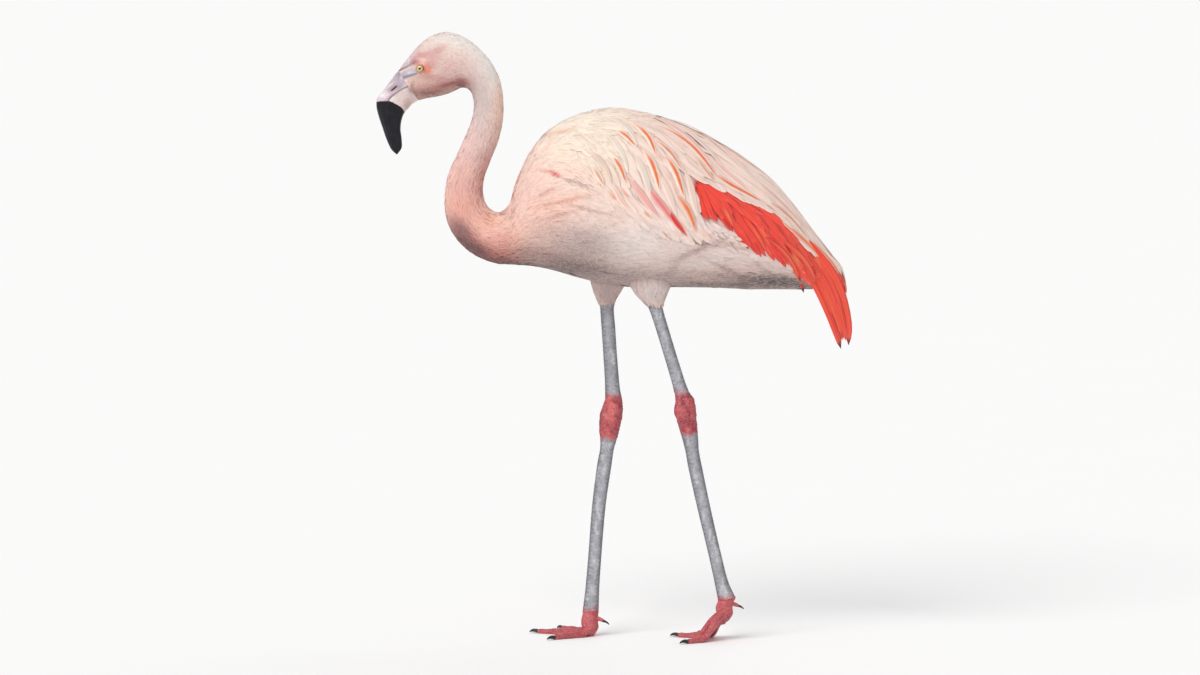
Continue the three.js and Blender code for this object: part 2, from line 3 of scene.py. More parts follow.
import bpy
import numpy as np
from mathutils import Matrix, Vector


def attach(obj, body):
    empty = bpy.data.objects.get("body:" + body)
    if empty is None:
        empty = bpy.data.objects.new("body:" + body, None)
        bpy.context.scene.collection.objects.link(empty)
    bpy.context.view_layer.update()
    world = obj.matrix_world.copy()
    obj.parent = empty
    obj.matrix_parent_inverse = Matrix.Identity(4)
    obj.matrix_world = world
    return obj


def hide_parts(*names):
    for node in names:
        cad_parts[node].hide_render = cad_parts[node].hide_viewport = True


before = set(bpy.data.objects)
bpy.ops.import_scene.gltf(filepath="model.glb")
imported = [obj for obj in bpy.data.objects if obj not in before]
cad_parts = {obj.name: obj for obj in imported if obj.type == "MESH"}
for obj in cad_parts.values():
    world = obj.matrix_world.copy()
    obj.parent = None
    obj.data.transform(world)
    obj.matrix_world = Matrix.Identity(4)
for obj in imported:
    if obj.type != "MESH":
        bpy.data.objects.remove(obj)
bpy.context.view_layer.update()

# An adult Chilean flamingo. Lengths in this file are millimetres in the frame of the model, and meshes are written in metres.
# PX and PZ turn a place on a 1200 x 675 side view into the bird's middle plane.
MID = 2.2
def PX(x): return (x - 613.0) * 1.5 - MID
def PZ(y): return (640.0 - y) * 1.5

# ------------------------------------------------------------------------------------------------ the body's stations
# dorsal x, dorsal z, ventral x, ventral z, half width, widest level, top fullness, bottom fullness
HEAD = [
    (-323.4, 728.6, -321.4, 729.4, 1.6, 0.5),
    (-331, 736, -315.6, 738, 5.2, 0.5, 1.1, 1),
    (-337.8, 750.2, -315.4, 751.4, 8.2, 0.46, 1.15, 0.95),
    (-344.2, 768.9, -317, 766.3, 10.6, 0.46, 1.15, 0.9),
    (-349.6, 785.3, -315.4, 779.7, 12.8, 0.46, 1.15, 0.85),
    (-353, 800.3, -311, 790.9, 14.4, 0.45, 1.1, 0.85),
    (-351.8, 812.3, -304.6, 797.9, 15, 0.44, 1.05, 0.85),
    (-343, 823.3, -301, 802.5, 15, 0.44, 1, 0.85),
    (-332.4, 837.7, -297, 805.4, 15.2, 0.46, 1, 0.85),
    (-321.8, 851.9, -291, 808.6, 16.6, 0.5, 0.95, 0.85),
    (-307.8, 869.7, -278.4, 812.3, 19.6, 0.52, 0.9, 0.9),
    (-291.4, 889.3, -263.4, 814.8, 22.4, 0.54, 0.9, 0.95),
    (-272, 904.5, -248.4, 818.6, 24.4, 0.56, 0.9, 1),
    (-251, 911.1, -235.4, 823.8, 24.8, 0.58, 0.92, 1),
    (-230, 907.1, -226.4, 828.1, 23.8, 0.56, 0.95, 1),
    (-210.2, 895.7, -217.6, 827.1, 22.4, 0.54),
    (-191.6, 878.5, -212, 822.3, 21.2, 0.52),
    (-177.4, 858.7, -208.6, 813.1, 20.6, 0.5),
    (-167.8, 836.5, -207.4, 802.5, 20.4, 0.5),
]
NECK = [
    (-164, 810.7, -209, 786.3, 20.6, 0.5),
    (-164.2, 782.7, -214.2, 770.7, 21, 0.5),
    (-170.8, 750.7, -222.6, 750.7, 21.8, 0.5),
    (-183.6, 718.3, -236, 722.3, 22.8, 0.5),
    (-193.2, 690.3, -247.4, 694.1, 24.2, 0.5),
    (-194, 667.1, -251.4, 660.3, 26.2, 0.5),
    (-187.8, 651.1, -247.8, 628.1, 29.2, 0.5),
    (-178.4, 643.5, -232, 599.9, 32.4, 0.5),
    (-169, 641.5, -207.2, 578.3, 35.6, 0.5),
    (-161.4, 646.3, -175.4, 565.7, 39.2, 0.49),
]
BODY = [
    (-153.4, 656.7, -152, 564.1, 44, 0.47),
    (-147.6, 678.7, -141, 563.3, 52, 0.46, 1, 1),
    (-138, 704.7, -127.4, 562.5, 61, 0.46, 1, 1),
    (-122.6, 734.7, -108, 559.7, 72, 0.46, 1, 1),
    (-98, 763.1, -84, 554.1, 84, 0.47, 1, 0.95),
    (-57, 786.7, -50, 544.3, 95, 0.48, 1, 0.92),
    (-4, 798.1, -3, 533.3, 101, 0.48, 1, 0.92),
    (48, 791.3, 48, 529.7, 102, 0.48, 1.02, 0.92),
    (100, 774.7, 100, 530.3, 99, 0.47, 1.05, 0.95),
    (150, 749.5, 150, 529.5, 91, 0.46, 1.1, 1),
    (196, 720.7, 196, 527.5, 79, 0.46, 1.15, 1.02),
    (238, 687.7, 238, 527.7, 65, 0.46, 1.2, 1.05),
    (273, 646.7, 272, 527.3, 50, 0.46, 1.2, 1.1),
    (301, 608.7, 298, 527.3, 36, 0.47, 1.2, 1.1),
    (323, 580, 314, 529, 25, 0.48, 1.1, 1.1),
]
# the course that the long rear feathers follow as they droop over the tail
DROOP = [
    (341, 557, 314, 521, 18, 0.5),
    (347.5, 530, 318, 507, 16, 0.5),
    (350, 505, 324, 489, 14, 0.5),
    (353, 478, 329, 469, 12, 0.5),
    (355, 452, 333, 446, 10, 0.5),
    (355, 436, 336, 432, 8, 0.5),
]
CHAIN = HEAD + NECK + BODY + DROOP
NECK0, BODY0, TAIL0 = 18, 29, 44  # the rows where the neck, the trunk and the droop begin


def cr(points, t):
    """The centripetal Catmull-Rom curve through points, at t from 0 to 1."""
    points, t = np.asarray(points, float), np.asarray(t, float)
    n = len(points)
    ext = np.vstack([2 * points[0] - points[1], points, 2 * points[-1] - points[-2]])
    p = np.clip(t, 0, 1) * (n - 1)
    i = np.minimum(p.astype(int), n - 2)
    w = (p - i)[..., None]
    a, b, c, d = ext[i], ext[i + 1], ext[i + 2], ext[i + 3]
    step = lambda u, v: np.maximum(((v - u) ** 2).sum(-1) ** 0.25, 1e-6)[..., None]
    q0, q1, q2 = step(a, b), step(b, c), step(c, d)
    q1 = np.where(q1 < 1e-4, 1.0, q1)
    q0, q2 = np.where(q0 < 1e-4, q1, q0), np.where(q2 < 1e-4, q1, q2)
    m1 = ((b - a) / q0 - (c - a) / (q0 + q1) + (c - b) / q1) * q1
    m2 = ((c - b) / q1 - (d - b) / (q1 + q2) + (d - c) / q2) * q1
    return b + m1 * w + (-3 * b + 3 * c - 2 * m1 - m2) * w**2 + (2 * b - 2 * c + m1 + m2) * w**3


class Loft:
    """A body through stations. T counts stations, phi turns round the section (90 degrees is the back), h grows it outward."""

    def __init__(self, rows, y=(0.0, 0.0)):
        r = [list(x) + [1.0] * (8 - len(x)) for x in rows]
        a = np.array(r, float)
        self.d, self.v, self.f, self.e, self.n, self.y = a[:, 0:2], a[:, 2:4], a[:, 4:6], a[:, 6:8], len(a), y

    def __call__(self, T, phi, h=0.0):
        T, phi, h = np.broadcast_arrays(np.asarray(T, float), np.asarray(phi, float), np.asarray(h, float))
        t = T / (self.n - 1)
        d, v, f, e = cr(self.d, t), cr(self.v, t), cr(self.f, t), cr(self.e, t)
        up = d - v
        H = np.sqrt((up**2).sum(-1))
        up = up / H[..., None]
        k = f[..., 1]
        c = v + (d - v) * k[..., None]
        b, q = np.sin(phi), np.cos(phi)
        a = np.sign(q) * np.abs(q) ** np.where(b > 0, e[..., 0], e[..., 1])
        reach = np.maximum(np.where(b > 0, H * (1 - k), H * k) + h, 0.25)
        wide = np.maximum(f[..., 0] + h, 0.25)
        y = self.y[0] + (self.y[1] - self.y[0]) * t
        return np.stack([c[..., 0] + up[..., 0] * b * reach - MID, a * wide + y, c[..., 1] + up[..., 1] * b * reach], -1)

    def frame(self, T, phi):
        """(position, d/dT, d/dphi, outward normal)"""
        e = 0.02
        p = self(T, phi)
        dt = (self(T + e, phi) - self(np.maximum(T - e, 0), phi)) / (2 * e)
        dp = (self(T, phi + e) - self(T, phi - e)) / (2 * e)
        n = np.cross(dp, dt)
        n /= np.linalg.norm(n, axis=-1, keepdims=True) + 1e-9
        out = self(T, phi, 2.0) - p
        n *= np.where((n * out).sum(-1, keepdims=True) < 0, -1.0, 1.0)
        return p, dt, dp, n

    def step(self, T, phi, want):
        """The change of T and phi that moves along the surface by the vector want, as nearly as it can."""
        _, dt, dp, _ = self.frame(T, phi)
        E, F, G = (dt * dt).sum(-1), (dt * dp).sum(-1), (dp * dp).sum(-1)
        a, b = (dt * want).sum(-1), (dp * want).sum(-1)
        det = E * G - F * F + 1e-6
        return (a * G - b * F) / det, (b * E - a * F) / det


bird = Loft(CHAIN)
def skin_depth(T):
    return np.interp(T, [0, 9, 12, 16, 19, 24, 28, 32, 36, 42, 50], [0.5, 0.5, 0.6, 0.7, 0.8, 1.0, 1.3, 1.8, 2.1, 2.1, 2.0])


LOOK = math.radians(5.34)  # the side view looks down by this much


def lowered(P):
    """The height at which the side view shows a place of either side."""
    return P[..., 2] * math.cos(LOOK) - np.abs(P[..., 1]) * math.sin(LOOK) + 454.0 * (1 - math.cos(LOOK))


# ------------------------------------------------------------------------------------------------ colours of the coat
def lin(c):
    c = np.asarray(c, float) / 255.0
    return np.where(c <= 0.04045, c / 12.92, ((c + 0.055) / 1.055) ** 2.4)


# soft patches of colour, painted shade and painted highlight, in side view: x, y, half length, half height, turn in
# degrees, (r, g, b), strength
COLOUR_AND_SHADE_PATCHES = [
    # head; darker along the jaw's lower edge and in the throat's corner, partly the bird's own colour and partly
    # painted shade
    (462, 40, 36, 13, 0, (250, 244, 238), 0.9), (488, 66, 14, 26, -25, (255, 251, 246), 0.9), (458, 74, 20, 14, 0, (246, 206, 204), 0.8),
    (413, 59, 9, 6, -40, (240, 214, 222), 0.9), (424, 57.5, 8, 3.6, -14, (230, 162, 163), 0.8), (437, 54.5, 9, 4.0, -34, (236, 178, 176), 0.8), (444, 50, 6, 3.4, -40, (236, 186, 182), 0.5),
    (428.5, 70, 5.4, 4.6, 0, (242, 142, 122), 0.9), (417.5, 64, 4.5, 3.4, 0, (196, 112, 112), 0.75), (436, 80, 18, 3.4, 8, (216, 150, 148), 0.6), (434, 64, 7, 5, -20, (232, 172, 172), 0.6),
    (406.5, 65, 6, 7.5, -40, (244, 228, 236), 0.95), (407.5, 69, 9, 1.1, -26, (140, 108, 116), 0.7), (414, 63, 4, 2.0, -40, (160, 98, 100), 0.55), (414, 88, 2.0, 6, 8, (160, 124, 122), 0.6), (441, 89, 22, 4.2, -14, (204, 126, 118), 0.85), (422, 92.5, 10, 4.5, -8, (190, 144, 134), 0.8), (416.5, 95, 1.8, 8, -28, (170, 126, 116), 0.6), (452, 85.5, 12, 1.8, -12, (150, 84, 84), 0.6), (462.5, 85.5, 3.4, 3.0, 0, (112, 64, 66), 0.8), (434, 94, 12, 1.8, -10, (160, 108, 100), 0.6),
    (464, 84, 7, 5, 20, (186, 112, 108), 0.75), (427, 87, 12, 5, 0, (238, 186, 176), 0.6), (470, 70, 8, 8, 0, (232, 214, 208), 0.5),
    # neck; the darker strip down its front edge and the dark patches under its bend are painted shade
    (481, 108, 11, 30, 8, (213, 195, 195), 0.85), (499, 112, 5, 30, 6, (252, 214, 194), 0.7), (472, 104, 4, 26, 8, (206, 172, 170), 0.55),
    (474, 150, 22, 24, 0, (240, 202, 198), 0.85), (464, 182, 22, 22, 0, (242, 186, 176), 0.9), (462, 212, 22, 22, 0, (240, 172, 156), 0.9),
    (470, 243, 24, 15, 35, (214, 134, 124), 0.9), (460, 232, 8, 15, -36, (148, 94, 96), 0.85), (476, 251, 20, 5.6, 30, (110, 62, 66), 0.9), (500, 261, 18, 3.8, 6, (134, 74, 73), 0.8), (500, 254, 26, 11, 8, (214, 122, 112), 0.85), (489, 222, 14, 11, 0, (246, 180, 160), 0.85),
    (520, 232, 20, 14, 0, (248, 190, 168), 0.85), (505, 240, 16, 7, 14, (228, 130, 118), 0.6), (484, 178, 6, 22, 14, (226, 156, 144), 0.6), (465, 234, 7, 13, -34, (136, 88, 88), 0.6), (479, 250, 15, 6, 30, (92, 54, 57), 0.7),
    # trunk; the greyer belly is partly its own colour and partly painted shade; the dark patches on the lower breast,
    # along the belly's lower edge, on the front thigh's top and along the underside to the tail are painted shade
    (540, 215, 34, 32, 0, (243, 196, 181), 0.9), (530, 180, 17, 28, 18, (246, 203, 191), 0.8), (566, 150, 34, 30, 0, (253, 226, 206), 0.85),
    (590, 125, 44, 22, 0, (254, 238, 220), 0.95), (600, 160, 34, 26, 0, (254, 236, 218), 0.9), (552, 258, 36, 9, 12, (196, 152, 144), 0.8), (536, 268, 40, 4.0, 9, (112, 82, 80), 0.8),
    (596, 248, 44, 18, 8, (190, 168, 165), 0.95), (588, 271, 44, 9, 10, (124, 105, 102), 0.9), (576, 176, 20, 10, 14, (250, 206, 190), 0.5),
    (560, 204, 26, 8, -16, (250, 200, 178), 0.6), (642, 248, 34, 22, 0, (252, 238, 232), 0.9), (716, 232, 24, 8, 16, (242, 220, 214), 0.9),
    (722, 262, 50, 13, 0, (248, 226, 218), 0.9), (800, 276, 34, 9, 4, (238, 218, 212), 0.9), (730, 285, 84, 4.2, 0, (120, 102, 100), 0.9), (776, 282, 40, 5, 4, (104, 88, 87), 0.85),
    (640, 277, 60, 7, 0, (192, 172, 168), 0.7), (720, 150, 60, 26, 32, (252, 226, 212), 0.8), (610, 292, 16, 14, 0, (206, 184, 182), 0.9),
    (652, 292, 20, 14, 0, (228, 214, 212), 0.9),
    # fold lines over the shoulder and the wing, mostly painted shade in the creases between feathers; painted shadow
    # and painted highlight along the pale lobe of the flank; and the small red mark at the bend of the wing
    (546, 173, 8, 1.8, 10, (232, 160, 158), 0.8), (555.5, 176, 5.5, 2.0, 30, (222, 66, 72), 1.0), (576, 184.5, 17, 1.7, 21, (166, 140, 134), 0.75), (565, 203, 26, 1.9, -12, (214, 150, 136), 0.75), (590, 212, 24, 1.9, 14, (196, 156, 146), 0.7),
    (560, 217, 18, 1.8, -14, (210, 148, 136), 0.7), (547, 194, 12, 1.8, -26, (220, 158, 144), 0.7), (562, 133, 13, 1.8, -12, (240, 178, 148), 0.6), (549, 146, 10, 1.7, -76, (242, 186, 162), 0.5), (600, 165, 9, 1.6, 56, (206, 184, 168), 0.6), (584, 140, 12, 1.6, 40, (232, 206, 186), 0.5), (652, 226, 26, 1.8, 24, (206, 176, 166), 0.5), (672, 270, 15, 2.6, -52, (176, 148, 144), 0.5), (697, 251, 22, 2.6, -22, (168, 138, 134), 0.7), (728, 246, 16, 2.4, 14, (188, 158, 154), 0.6), (706, 262, 24, 5, -14, (255, 243, 237), 0.85), (742, 258, 22, 4, 16, (255, 238, 230), 0.8),
    (730, 272, 22, 2.4, 26, (184, 152, 146), 0.7), (763, 270, 14, 2.0, 34, (176, 144, 140), 0.65), (716, 276, 22, 3.0, 8, (196, 168, 162), 0.6), (790, 270, 16, 3.4, 22, (250, 230, 224), 0.7), (772, 279.5, 34, 4.0, 4, (110, 94, 92), 0.7), (690, 288, 18, 2.2, 0, (190, 166, 160), 0.6),
]
BASE = (248, 220, 208)


UNDERSIDE_SHADE = (0.60, 0.51, 0.50)


def painted_underside_shade(nz):
    """Painted shade: what faces down is darkened and greyed, as a factor."""
    k = (np.clip((-nz + 0.05) / 0.95, 0, 1) ** 1.2)[..., None]
    return 1 - k * (1 - np.array(UNDERSIDE_SHADE))


def tint(P):
    """The coat's and the skin's colour at places P, alike on both sides, painted shade and highlights included."""
    x, y = (P[..., 0] + MID) / 1.5 + 613.0, 640.0 - lowered(P) / 1.5
    c = np.broadcast_to(lin(BASE), P.shape).copy()
    for cx, cy, rx, ry, turn, colour, strength in COLOUR_AND_SHADE_PATCHES:
        a = math.radians(turn)
        u, v = (x - cx) * math.cos(a) + (y - cy) * math.sin(a), -(x - cx) * math.sin(a) + (y - cy) * math.cos(a)
        w = (strength * np.exp(-(((u / rx) ** 2 + (v / ry) ** 2) ** 1.25) * 0.8))[..., None]
        c = c * (1 - w) + lin(colour) * w
    return c


# ------------------------------------------------------------------------------------------------ where feathers lie
# how steeply the wing's feathers hang, in degrees below the horizontal: x, y, angle
HANG = [(540, 150, 12), (560, 140, 15), (562, 176, 22), (590, 192, 28), (600, 150, 34), (600, 120, 8), (640, 116, 18), (630, 145, 52), (600, 178, 58), (622, 178, 64),
        (650, 146, 56), (652, 180, 72), (676, 182, 74), (688, 152, 50), (675, 226, 56), (650, 222, 44), (620, 212, 36), (700, 132, 30), (720, 152, 34), (742, 176, 40),
        (704, 200, 72), (730, 216, 64), (760, 236, 60), (790, 256, 58), (780, 216, 44), (820, 262, 54), (836, 284, 68), (846, 322, 82), (800, 285, 66), (770, 255, 58),
        (696, 170, 32), (708, 175, 28), (724, 183, 29), (738, 191, 28), (752, 198, 26), (766, 203, 26), (780, 211, 36), (792, 224, 50), (804, 238, 48), (818, 247, 36), (832, 256, 40), (843, 268, 62)]


def hang_angle(P):
    x, y = picture(P)
    h = np.array(HANG, float)
    w = 1.0 / (((x[..., None] - h[:, 0]) ** 2 + (y[..., None] - h[:, 1]) ** 2) + 30.0) ** 1.6
    a = np.radians(h[:, 2])
    return np.arctan2((w * np.sin(a)).sum(-1), (w * np.cos(a)).sum(-1))


def picture(P):
    return (P[..., 0] + MID) / 1.5 + 613.0, 640.0 - lowered(P) / 1.5


def inside(P, outline):
    """Which places are within a side-view outline of picture points."""
    x, y = picture(P)
    hit = np.zeros(x.shape, bool)
    for (x1, y1), (x2, y2) in zip(outline, outline[1:] + outline[:1]):
        if y1 != y2:
            hit ^= ((y1 > y) != (y2 > y)) & (x < (x2 - x1) * (y - y1) / (y2 - y1) + x1)
    return hit


WING = [(548, 150), (556, 176), (566, 186), (592, 192), (604, 200), (618, 216), (640, 226), (664, 238), (690, 244), (700, 222), (734, 236), (755, 256), (787, 266), (800, 290),
        (822, 284), (850, 300), (870, 250), (820, 180), (760, 130), (690, 90), (600, 80), (560, 100)]
RED = [(690, 182), (704, 182), (722, 191), (748, 203), (772, 213), (790, 232), (812, 252), (832, 262), (846, 272), (852, 300), (822, 284), (802, 282), (786, 265), (769, 256), (754, 255),
       (742, 245), (733, 232), (716, 221), (698, 217)]
NOTMID = ([-140, -60, -10, 40, 90, 120, 400], [62, 58, 44, 26, 9, 0, 0])
REDV = [(691.5, 183.8), (703, 183), (722, 192.6), (734, 198.5), (748.8, 204.4), (772.4, 213.2), (781, 220.6), (796, 238), (809, 253), (821, 256), (831, 263), (843, 278), (852, 300), (852, 350),
        (836, 350), (822, 284), (801, 283), (787, 264.7), (769, 255.9), (754.7, 255), (743, 245.6), (734, 232.4), (716.5, 220.6), (698.8, 216.2)]
LORE = [(397, 74), (401, 69.5), (408, 71.5), (416.5, 71.5), (418.5, 77), (412, 80.5), (406, 84), (399, 80)]


def roots(surface, T0, T1, gap_along, gap_across, seed, jitter=0.32, squeeze=True):
    """Places for feathers, in staggered rings at about the gaps given (numbers or functions of T)."""
    rs = np.random.default_rng(seed)
    ga = gap_along if callable(gap_along) else (lambda t: np.full(np.shape(t), float(gap_along)))
    gc = gap_across if callable(gap_across) else (lambda t: np.full(np.shape(t), float(gap_across)))
    fine = np.linspace(T0, T1, 700)
    ring = np.linspace(0, 2 * np.pi, 25)[:-1]
    speed = np.linalg.norm(surface.frame(fine[:, None], ring[None])[1], axis=-1)
    top = speed.max(1)
    s = np.concatenate([[0], np.cumsum((top[1:] + top[:-1]) / 2 * np.diff(fine) / ga((fine[1:] + fine[:-1]) / 2))])
    rows = np.interp(np.arange(0, s[-1], 1.0), s, fine)
    Ts, phis, keep = [], [], []
    for i, T in enumerate(rows):
        p = surface(np.full(97, T), np.linspace(0, 2 * np.pi, 97))
        seg = np.linalg.norm(np.diff(p, axis=0), axis=1)
        arc = np.concatenate([[0], np.cumsum(seg)])
        n = max(6, int(round(arc[-1] / float(gc(np.array(T))))))
        at = (np.arange(n) + 0.5 * (i % 2) + rs.uniform(-jitter, jitter, n)) / n * arc[-1] % arc[-1]
        phi = np.interp(at, arc, np.linspace(0, 2 * np.pi, 97))
        Ts.append(np.full(n, T)), phis.append(phi)
    T, phi = np.concatenate(Ts), np.concatenate(phis)
    local = np.linalg.norm(surface.frame(T, phi)[1], axis=-1)
    most = np.interp(T, fine, top)
    keep = rs.uniform(0, 1, len(T)) < np.clip(local / most, 0.0, 1.0) if squeeze else np.ones(len(T), bool)
    T = T + rs.uniform(-jitter, jitter, len(T)) * ga(T) / np.maximum(local, 1e-3)
    return np.clip(T[keep], T0, T1), phi[keep]


# a feather's half width along its length, root to tip
def rounded(u): return np.interp(u, [0, 0.12, 0.35, 0.62, 0.82, 0.93, 0.975, 1.0], [0.25, 0.6, 0.92, 1.0, 0.86, 0.58, 0.36, 0.04])
def lance(u): return np.interp(u, [0, 0.1, 0.3, 0.55, 0.75, 0.9, 1.0], [0.4, 0.72, 1.0, 0.96, 0.74, 0.42, 0.05])
def soft(u): return np.interp(u, [0, 0.1, 0.3, 0.6, 0.82, 0.94, 1.0], [0.5, 0.8, 1.0, 0.92, 0.6, 0.3, 0.03])
def plump(u): return np.interp(u, [0, 0.1, 0.3, 0.62, 0.82, 0.93, 1.0], [0.5, 0.82, 1.0, 0.97, 0.76, 0.46, 0.04])
def blade(u): return np.interp(u, [0, 0.2, 0.45, 0.68, 0.84, 0.93, 1.0], [0.12, 0.58, 1.0, 0.88, 0.56, 0.3, 0.02])
def strap(u): return np.interp(u, [0, 0.08, 0.3, 0.7, 0.84, 0.92, 0.965, 1.0], [0.4, 0.72, 1.0, 0.94, 0.78, 0.56, 0.36, 0.04])


def feathers(surface, T, phi, length, half, h0, h1, seed, steps, flow=None, turn=6.0, shape=rounded, lift=None, sag=0.0, vary=0.12, tilt=6.0):
    """Paths of feathers that start at T, phi and run along the flow, rising from height h0 to h1 over the surface.
    Gives (paths N x R x 3, across N x R x 3, normals N x R x 3, half widths N x R, shares of the length R)."""
    rs = np.random.default_rng(seed)
    n = len(T)
    length, half = np.broadcast_to(length, n) * rs.uniform(1 - vary, 1 + vary, n), np.broadcast_to(half, n) * rs.uniform(0.88, 1.12, n)
    turns = np.radians(rs.normal(0, turn, n))
    us = np.asarray(steps, float)
    t, f = T.copy(), phi.copy()
    pts, nrm = [], []
    last = 0.0
    for u in us:
        if u > last:
            p, dt, dp, nn = surface.frame(t, f)
            d = dt / (np.linalg.norm(dt, axis=-1, keepdims=True) + 1e-9) if flow is None else flow(p, dt, nn)
            if sag:
                d = d + np.array([0, 0, -sag])
            d = d - nn * (d * nn).sum(-1, keepdims=True)
            d /= np.linalg.norm(d, axis=-1, keepdims=True) + 1e-9
            side = np.cross(nn, d)
            d = d * np.cos(turns)[:, None] + side * np.sin(turns)[:, None]
            a, b = surface.step(t, f, d * (length * (u - last))[:, None])
            t, f = np.clip(t + np.clip(a, -2, 2), 0, surface.n - 1.001), f + np.clip(b, -0.5, 0.5)
            last = u
        rise = u * (2 - u)
        h = h0 + (h1 - h0) * rise if lift is None else h0 + (h1 - h0) * lift(u)
        pts.append(surface(t, f, h))
        nrm.append(surface.frame(t, f)[3])
    pts, nrm = np.stack(pts, 1), np.stack(nrm, 1)
    tan = np.gradient(pts, axis=1)
    tan /= np.linalg.norm(tan, axis=-1, keepdims=True) + 1e-9
    across = np.cross(nrm, tan)
    across /= np.linalg.norm(across, axis=-1, keepdims=True) + 1e-9
    up = np.cross(tan, across)
    roll = np.radians(rs.normal(0, tilt, n))[:, None, None]
    across, up = across * np.cos(roll) + up * np.sin(roll), up * np.cos(roll) - across * np.sin(roll)
    return pts, across, up, half[:, None] * shape(us)[None], us


# the unwrap that skin and coat share: u round the section, v along the bird
_T = np.linspace(0, len(CHAIN) - 1, 800)
_mid = (bird(_T, 0.0) + bird(_T, np.pi)) / 2
_arc = np.concatenate([[0], np.cumsum(np.linalg.norm(np.diff(_mid, axis=0), axis=1))])
def unwrap(T, phi):
    u = 0.012 + 0.76 * (((phi + np.pi / 2) / (2 * np.pi)) % 1.0)
    return np.stack([u, 0.012 + 0.976 * np.interp(T, _T, _arc) / _arc[-1]], -1)


# ------------------------------------------------------------------------------------------------ meshes
pieces = []


def mesh(name, verts, faces, uv=None, attrs=None, material=None, smooth=True):
    """A mesh object from vertices in mm and an array of quads or triangles. uv is per vertex or per corner."""
    faces = np.asarray(faces)
    me = bpy.data.meshes.new(name)
    k = faces.shape[1]
    me.vertices.add(len(verts))
    me.vertices.foreach_set("co", (np.asarray(verts, np.float64) * 0.001).astype(np.float32).ravel())
    me.loops.add(faces.size)
    me.loops.foreach_set("vertex_index", faces.astype(np.int32).ravel())
    me.polygons.add(len(faces))
    me.polygons.foreach_set("loop_start", np.arange(0, faces.size, k, dtype=np.int32))
    me.polygons.foreach_set("loop_total", np.full(len(faces), k, np.int32))
    me.update(calc_edges=True)
    if uv is not None:
        layer = me.uv_layers.new(name="OFBake")
        uv = np.asarray(uv)
        corner = uv if len(uv) == faces.size and uv.ndim == 2 and len(uv) != len(verts) else uv[faces.ravel()]
        layer.data.foreach_set("uv", corner.astype(np.float32).ravel())
    for key, value in (attrs or {}).items():
        value = np.asarray(value, np.float32)
        if value.ndim == 1:
            a = me.attributes.new(key, "FLOAT", "POINT")
            a.data.foreach_set("value", value)
        elif value.shape[1] == 3 and key.startswith("c_"):
            a = me.attributes.new(key, "FLOAT_COLOR", "POINT")
            a.data.foreach_set("color", np.hstack([value, np.ones((len(value), 1), np.float32)]).ravel())
        else:
            a = me.attributes.new(key, "FLOAT_VECTOR", "POINT")
            a.data.foreach_set("vector", value.ravel())
    if smooth:
        me.polygons.foreach_set("use_smooth", np.ones(len(faces), bool))
    if material:
        me.materials.append(material)
    me.validate()
    ob = bpy.data.objects.new(name, me)
    bpy.context.scene.collection.objects.link(ob)
    pieces.append(ob)
    return ob


def finish_piece(ob, slot, *nodes):
    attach(ob, "root")
    if nodes:
        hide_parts(*nodes)
    return ob


def vanes(name, parts, material, columns=3, camber=0.2, patch=0.0015, thick=0.12):
    """One mesh of many feathers. Each part is (paths, across, up, half, us, root uv N x 2, colours N x R x 3, extra per feather dict)."""
    V, F, UV, C, A, E = [], [], [], [], [], {}
    base = 0
    s = np.linspace(-1, 1, columns)
    for pts, across, up, half, us, uv, col, extra in parts:
        n, R = half.shape
        rs = np.random.default_rng(n * 7 + R)
        top = pts[:, :, None] + across[:, :, None] * (half[..., None] * s)[..., None] + up[:, :, None] * (camber * half[..., None] * (1 - s**2))[..., None]
        bottom = pts[:, :, None] + across[:, :, None] * (half[..., None] * np.array([-1.0, 1.0]))[..., None] - up[:, :, None] * (thick * np.array([0.0, 0.0]))[None, None, :, None]
        V.append(np.concatenate([top.reshape(-1, 3), bottom.reshape(-1, 3)]))
        idx = np.arange(n * R * columns).reshape(n, R, columns) + base
        q = np.stack([idx[:, :-1, :-1], idx[:, :-1, 1:], idx[:, 1:, 1:], idx[:, 1:, :-1]], -1).reshape(-1, 4)
        low = np.arange(n * R * 2).reshape(n, R, 2) + base + n * R * columns
        ql = np.stack([low[:, :-1, 0], low[:, 1:, 0], low[:, 1:, 1], low[:, :-1, 1]], -1).reshape(-1, 4)
        F += [q, ql]
        base += n * R * (columns + 2)
        rnd = rs.uniform(0, 1, n)
        for sc, k in ((s, columns), (np.array([-1.0, 1.0]), 2)):
            du, dv = np.broadcast_to(sc, (n, R, k)), np.broadcast_to(us[None, :, None], (n, R, k))
            UV.append((uv[:, None, None] + np.stack([du * patch, (dv - 0.5) * 2 * patch], -1)).reshape(-1, 2))
            A.append(np.stack([dv, du, np.broadcast_to(rnd[:, None, None], (n, R, k))], -1).reshape(-1, 3))
            C.append(np.broadcast_to(col[:, :, None], (n, R, k, 3)).reshape(-1, 3))
            for key, value in extra.items():
                value = np.asarray(value, float)
                if value.ndim == 2 and value.shape[1] == 3:
                    E.setdefault(key, []).append(np.broadcast_to(value[:, None, None], (n, R, k, 3)).reshape(-1, 3))
                else:
                    E.setdefault(key, []).append(np.broadcast_to(value[:, None, None], (n, R, k)).reshape(-1))
    attrs = {"vane": np.concatenate(A), "c_tint": np.concatenate(C)}
    attrs.update({k: np.concatenate(v) for k, v in E.items()})
    return mesh(name, np.concatenate(V), np.concatenate(F), np.concatenate(UV), attrs, material)


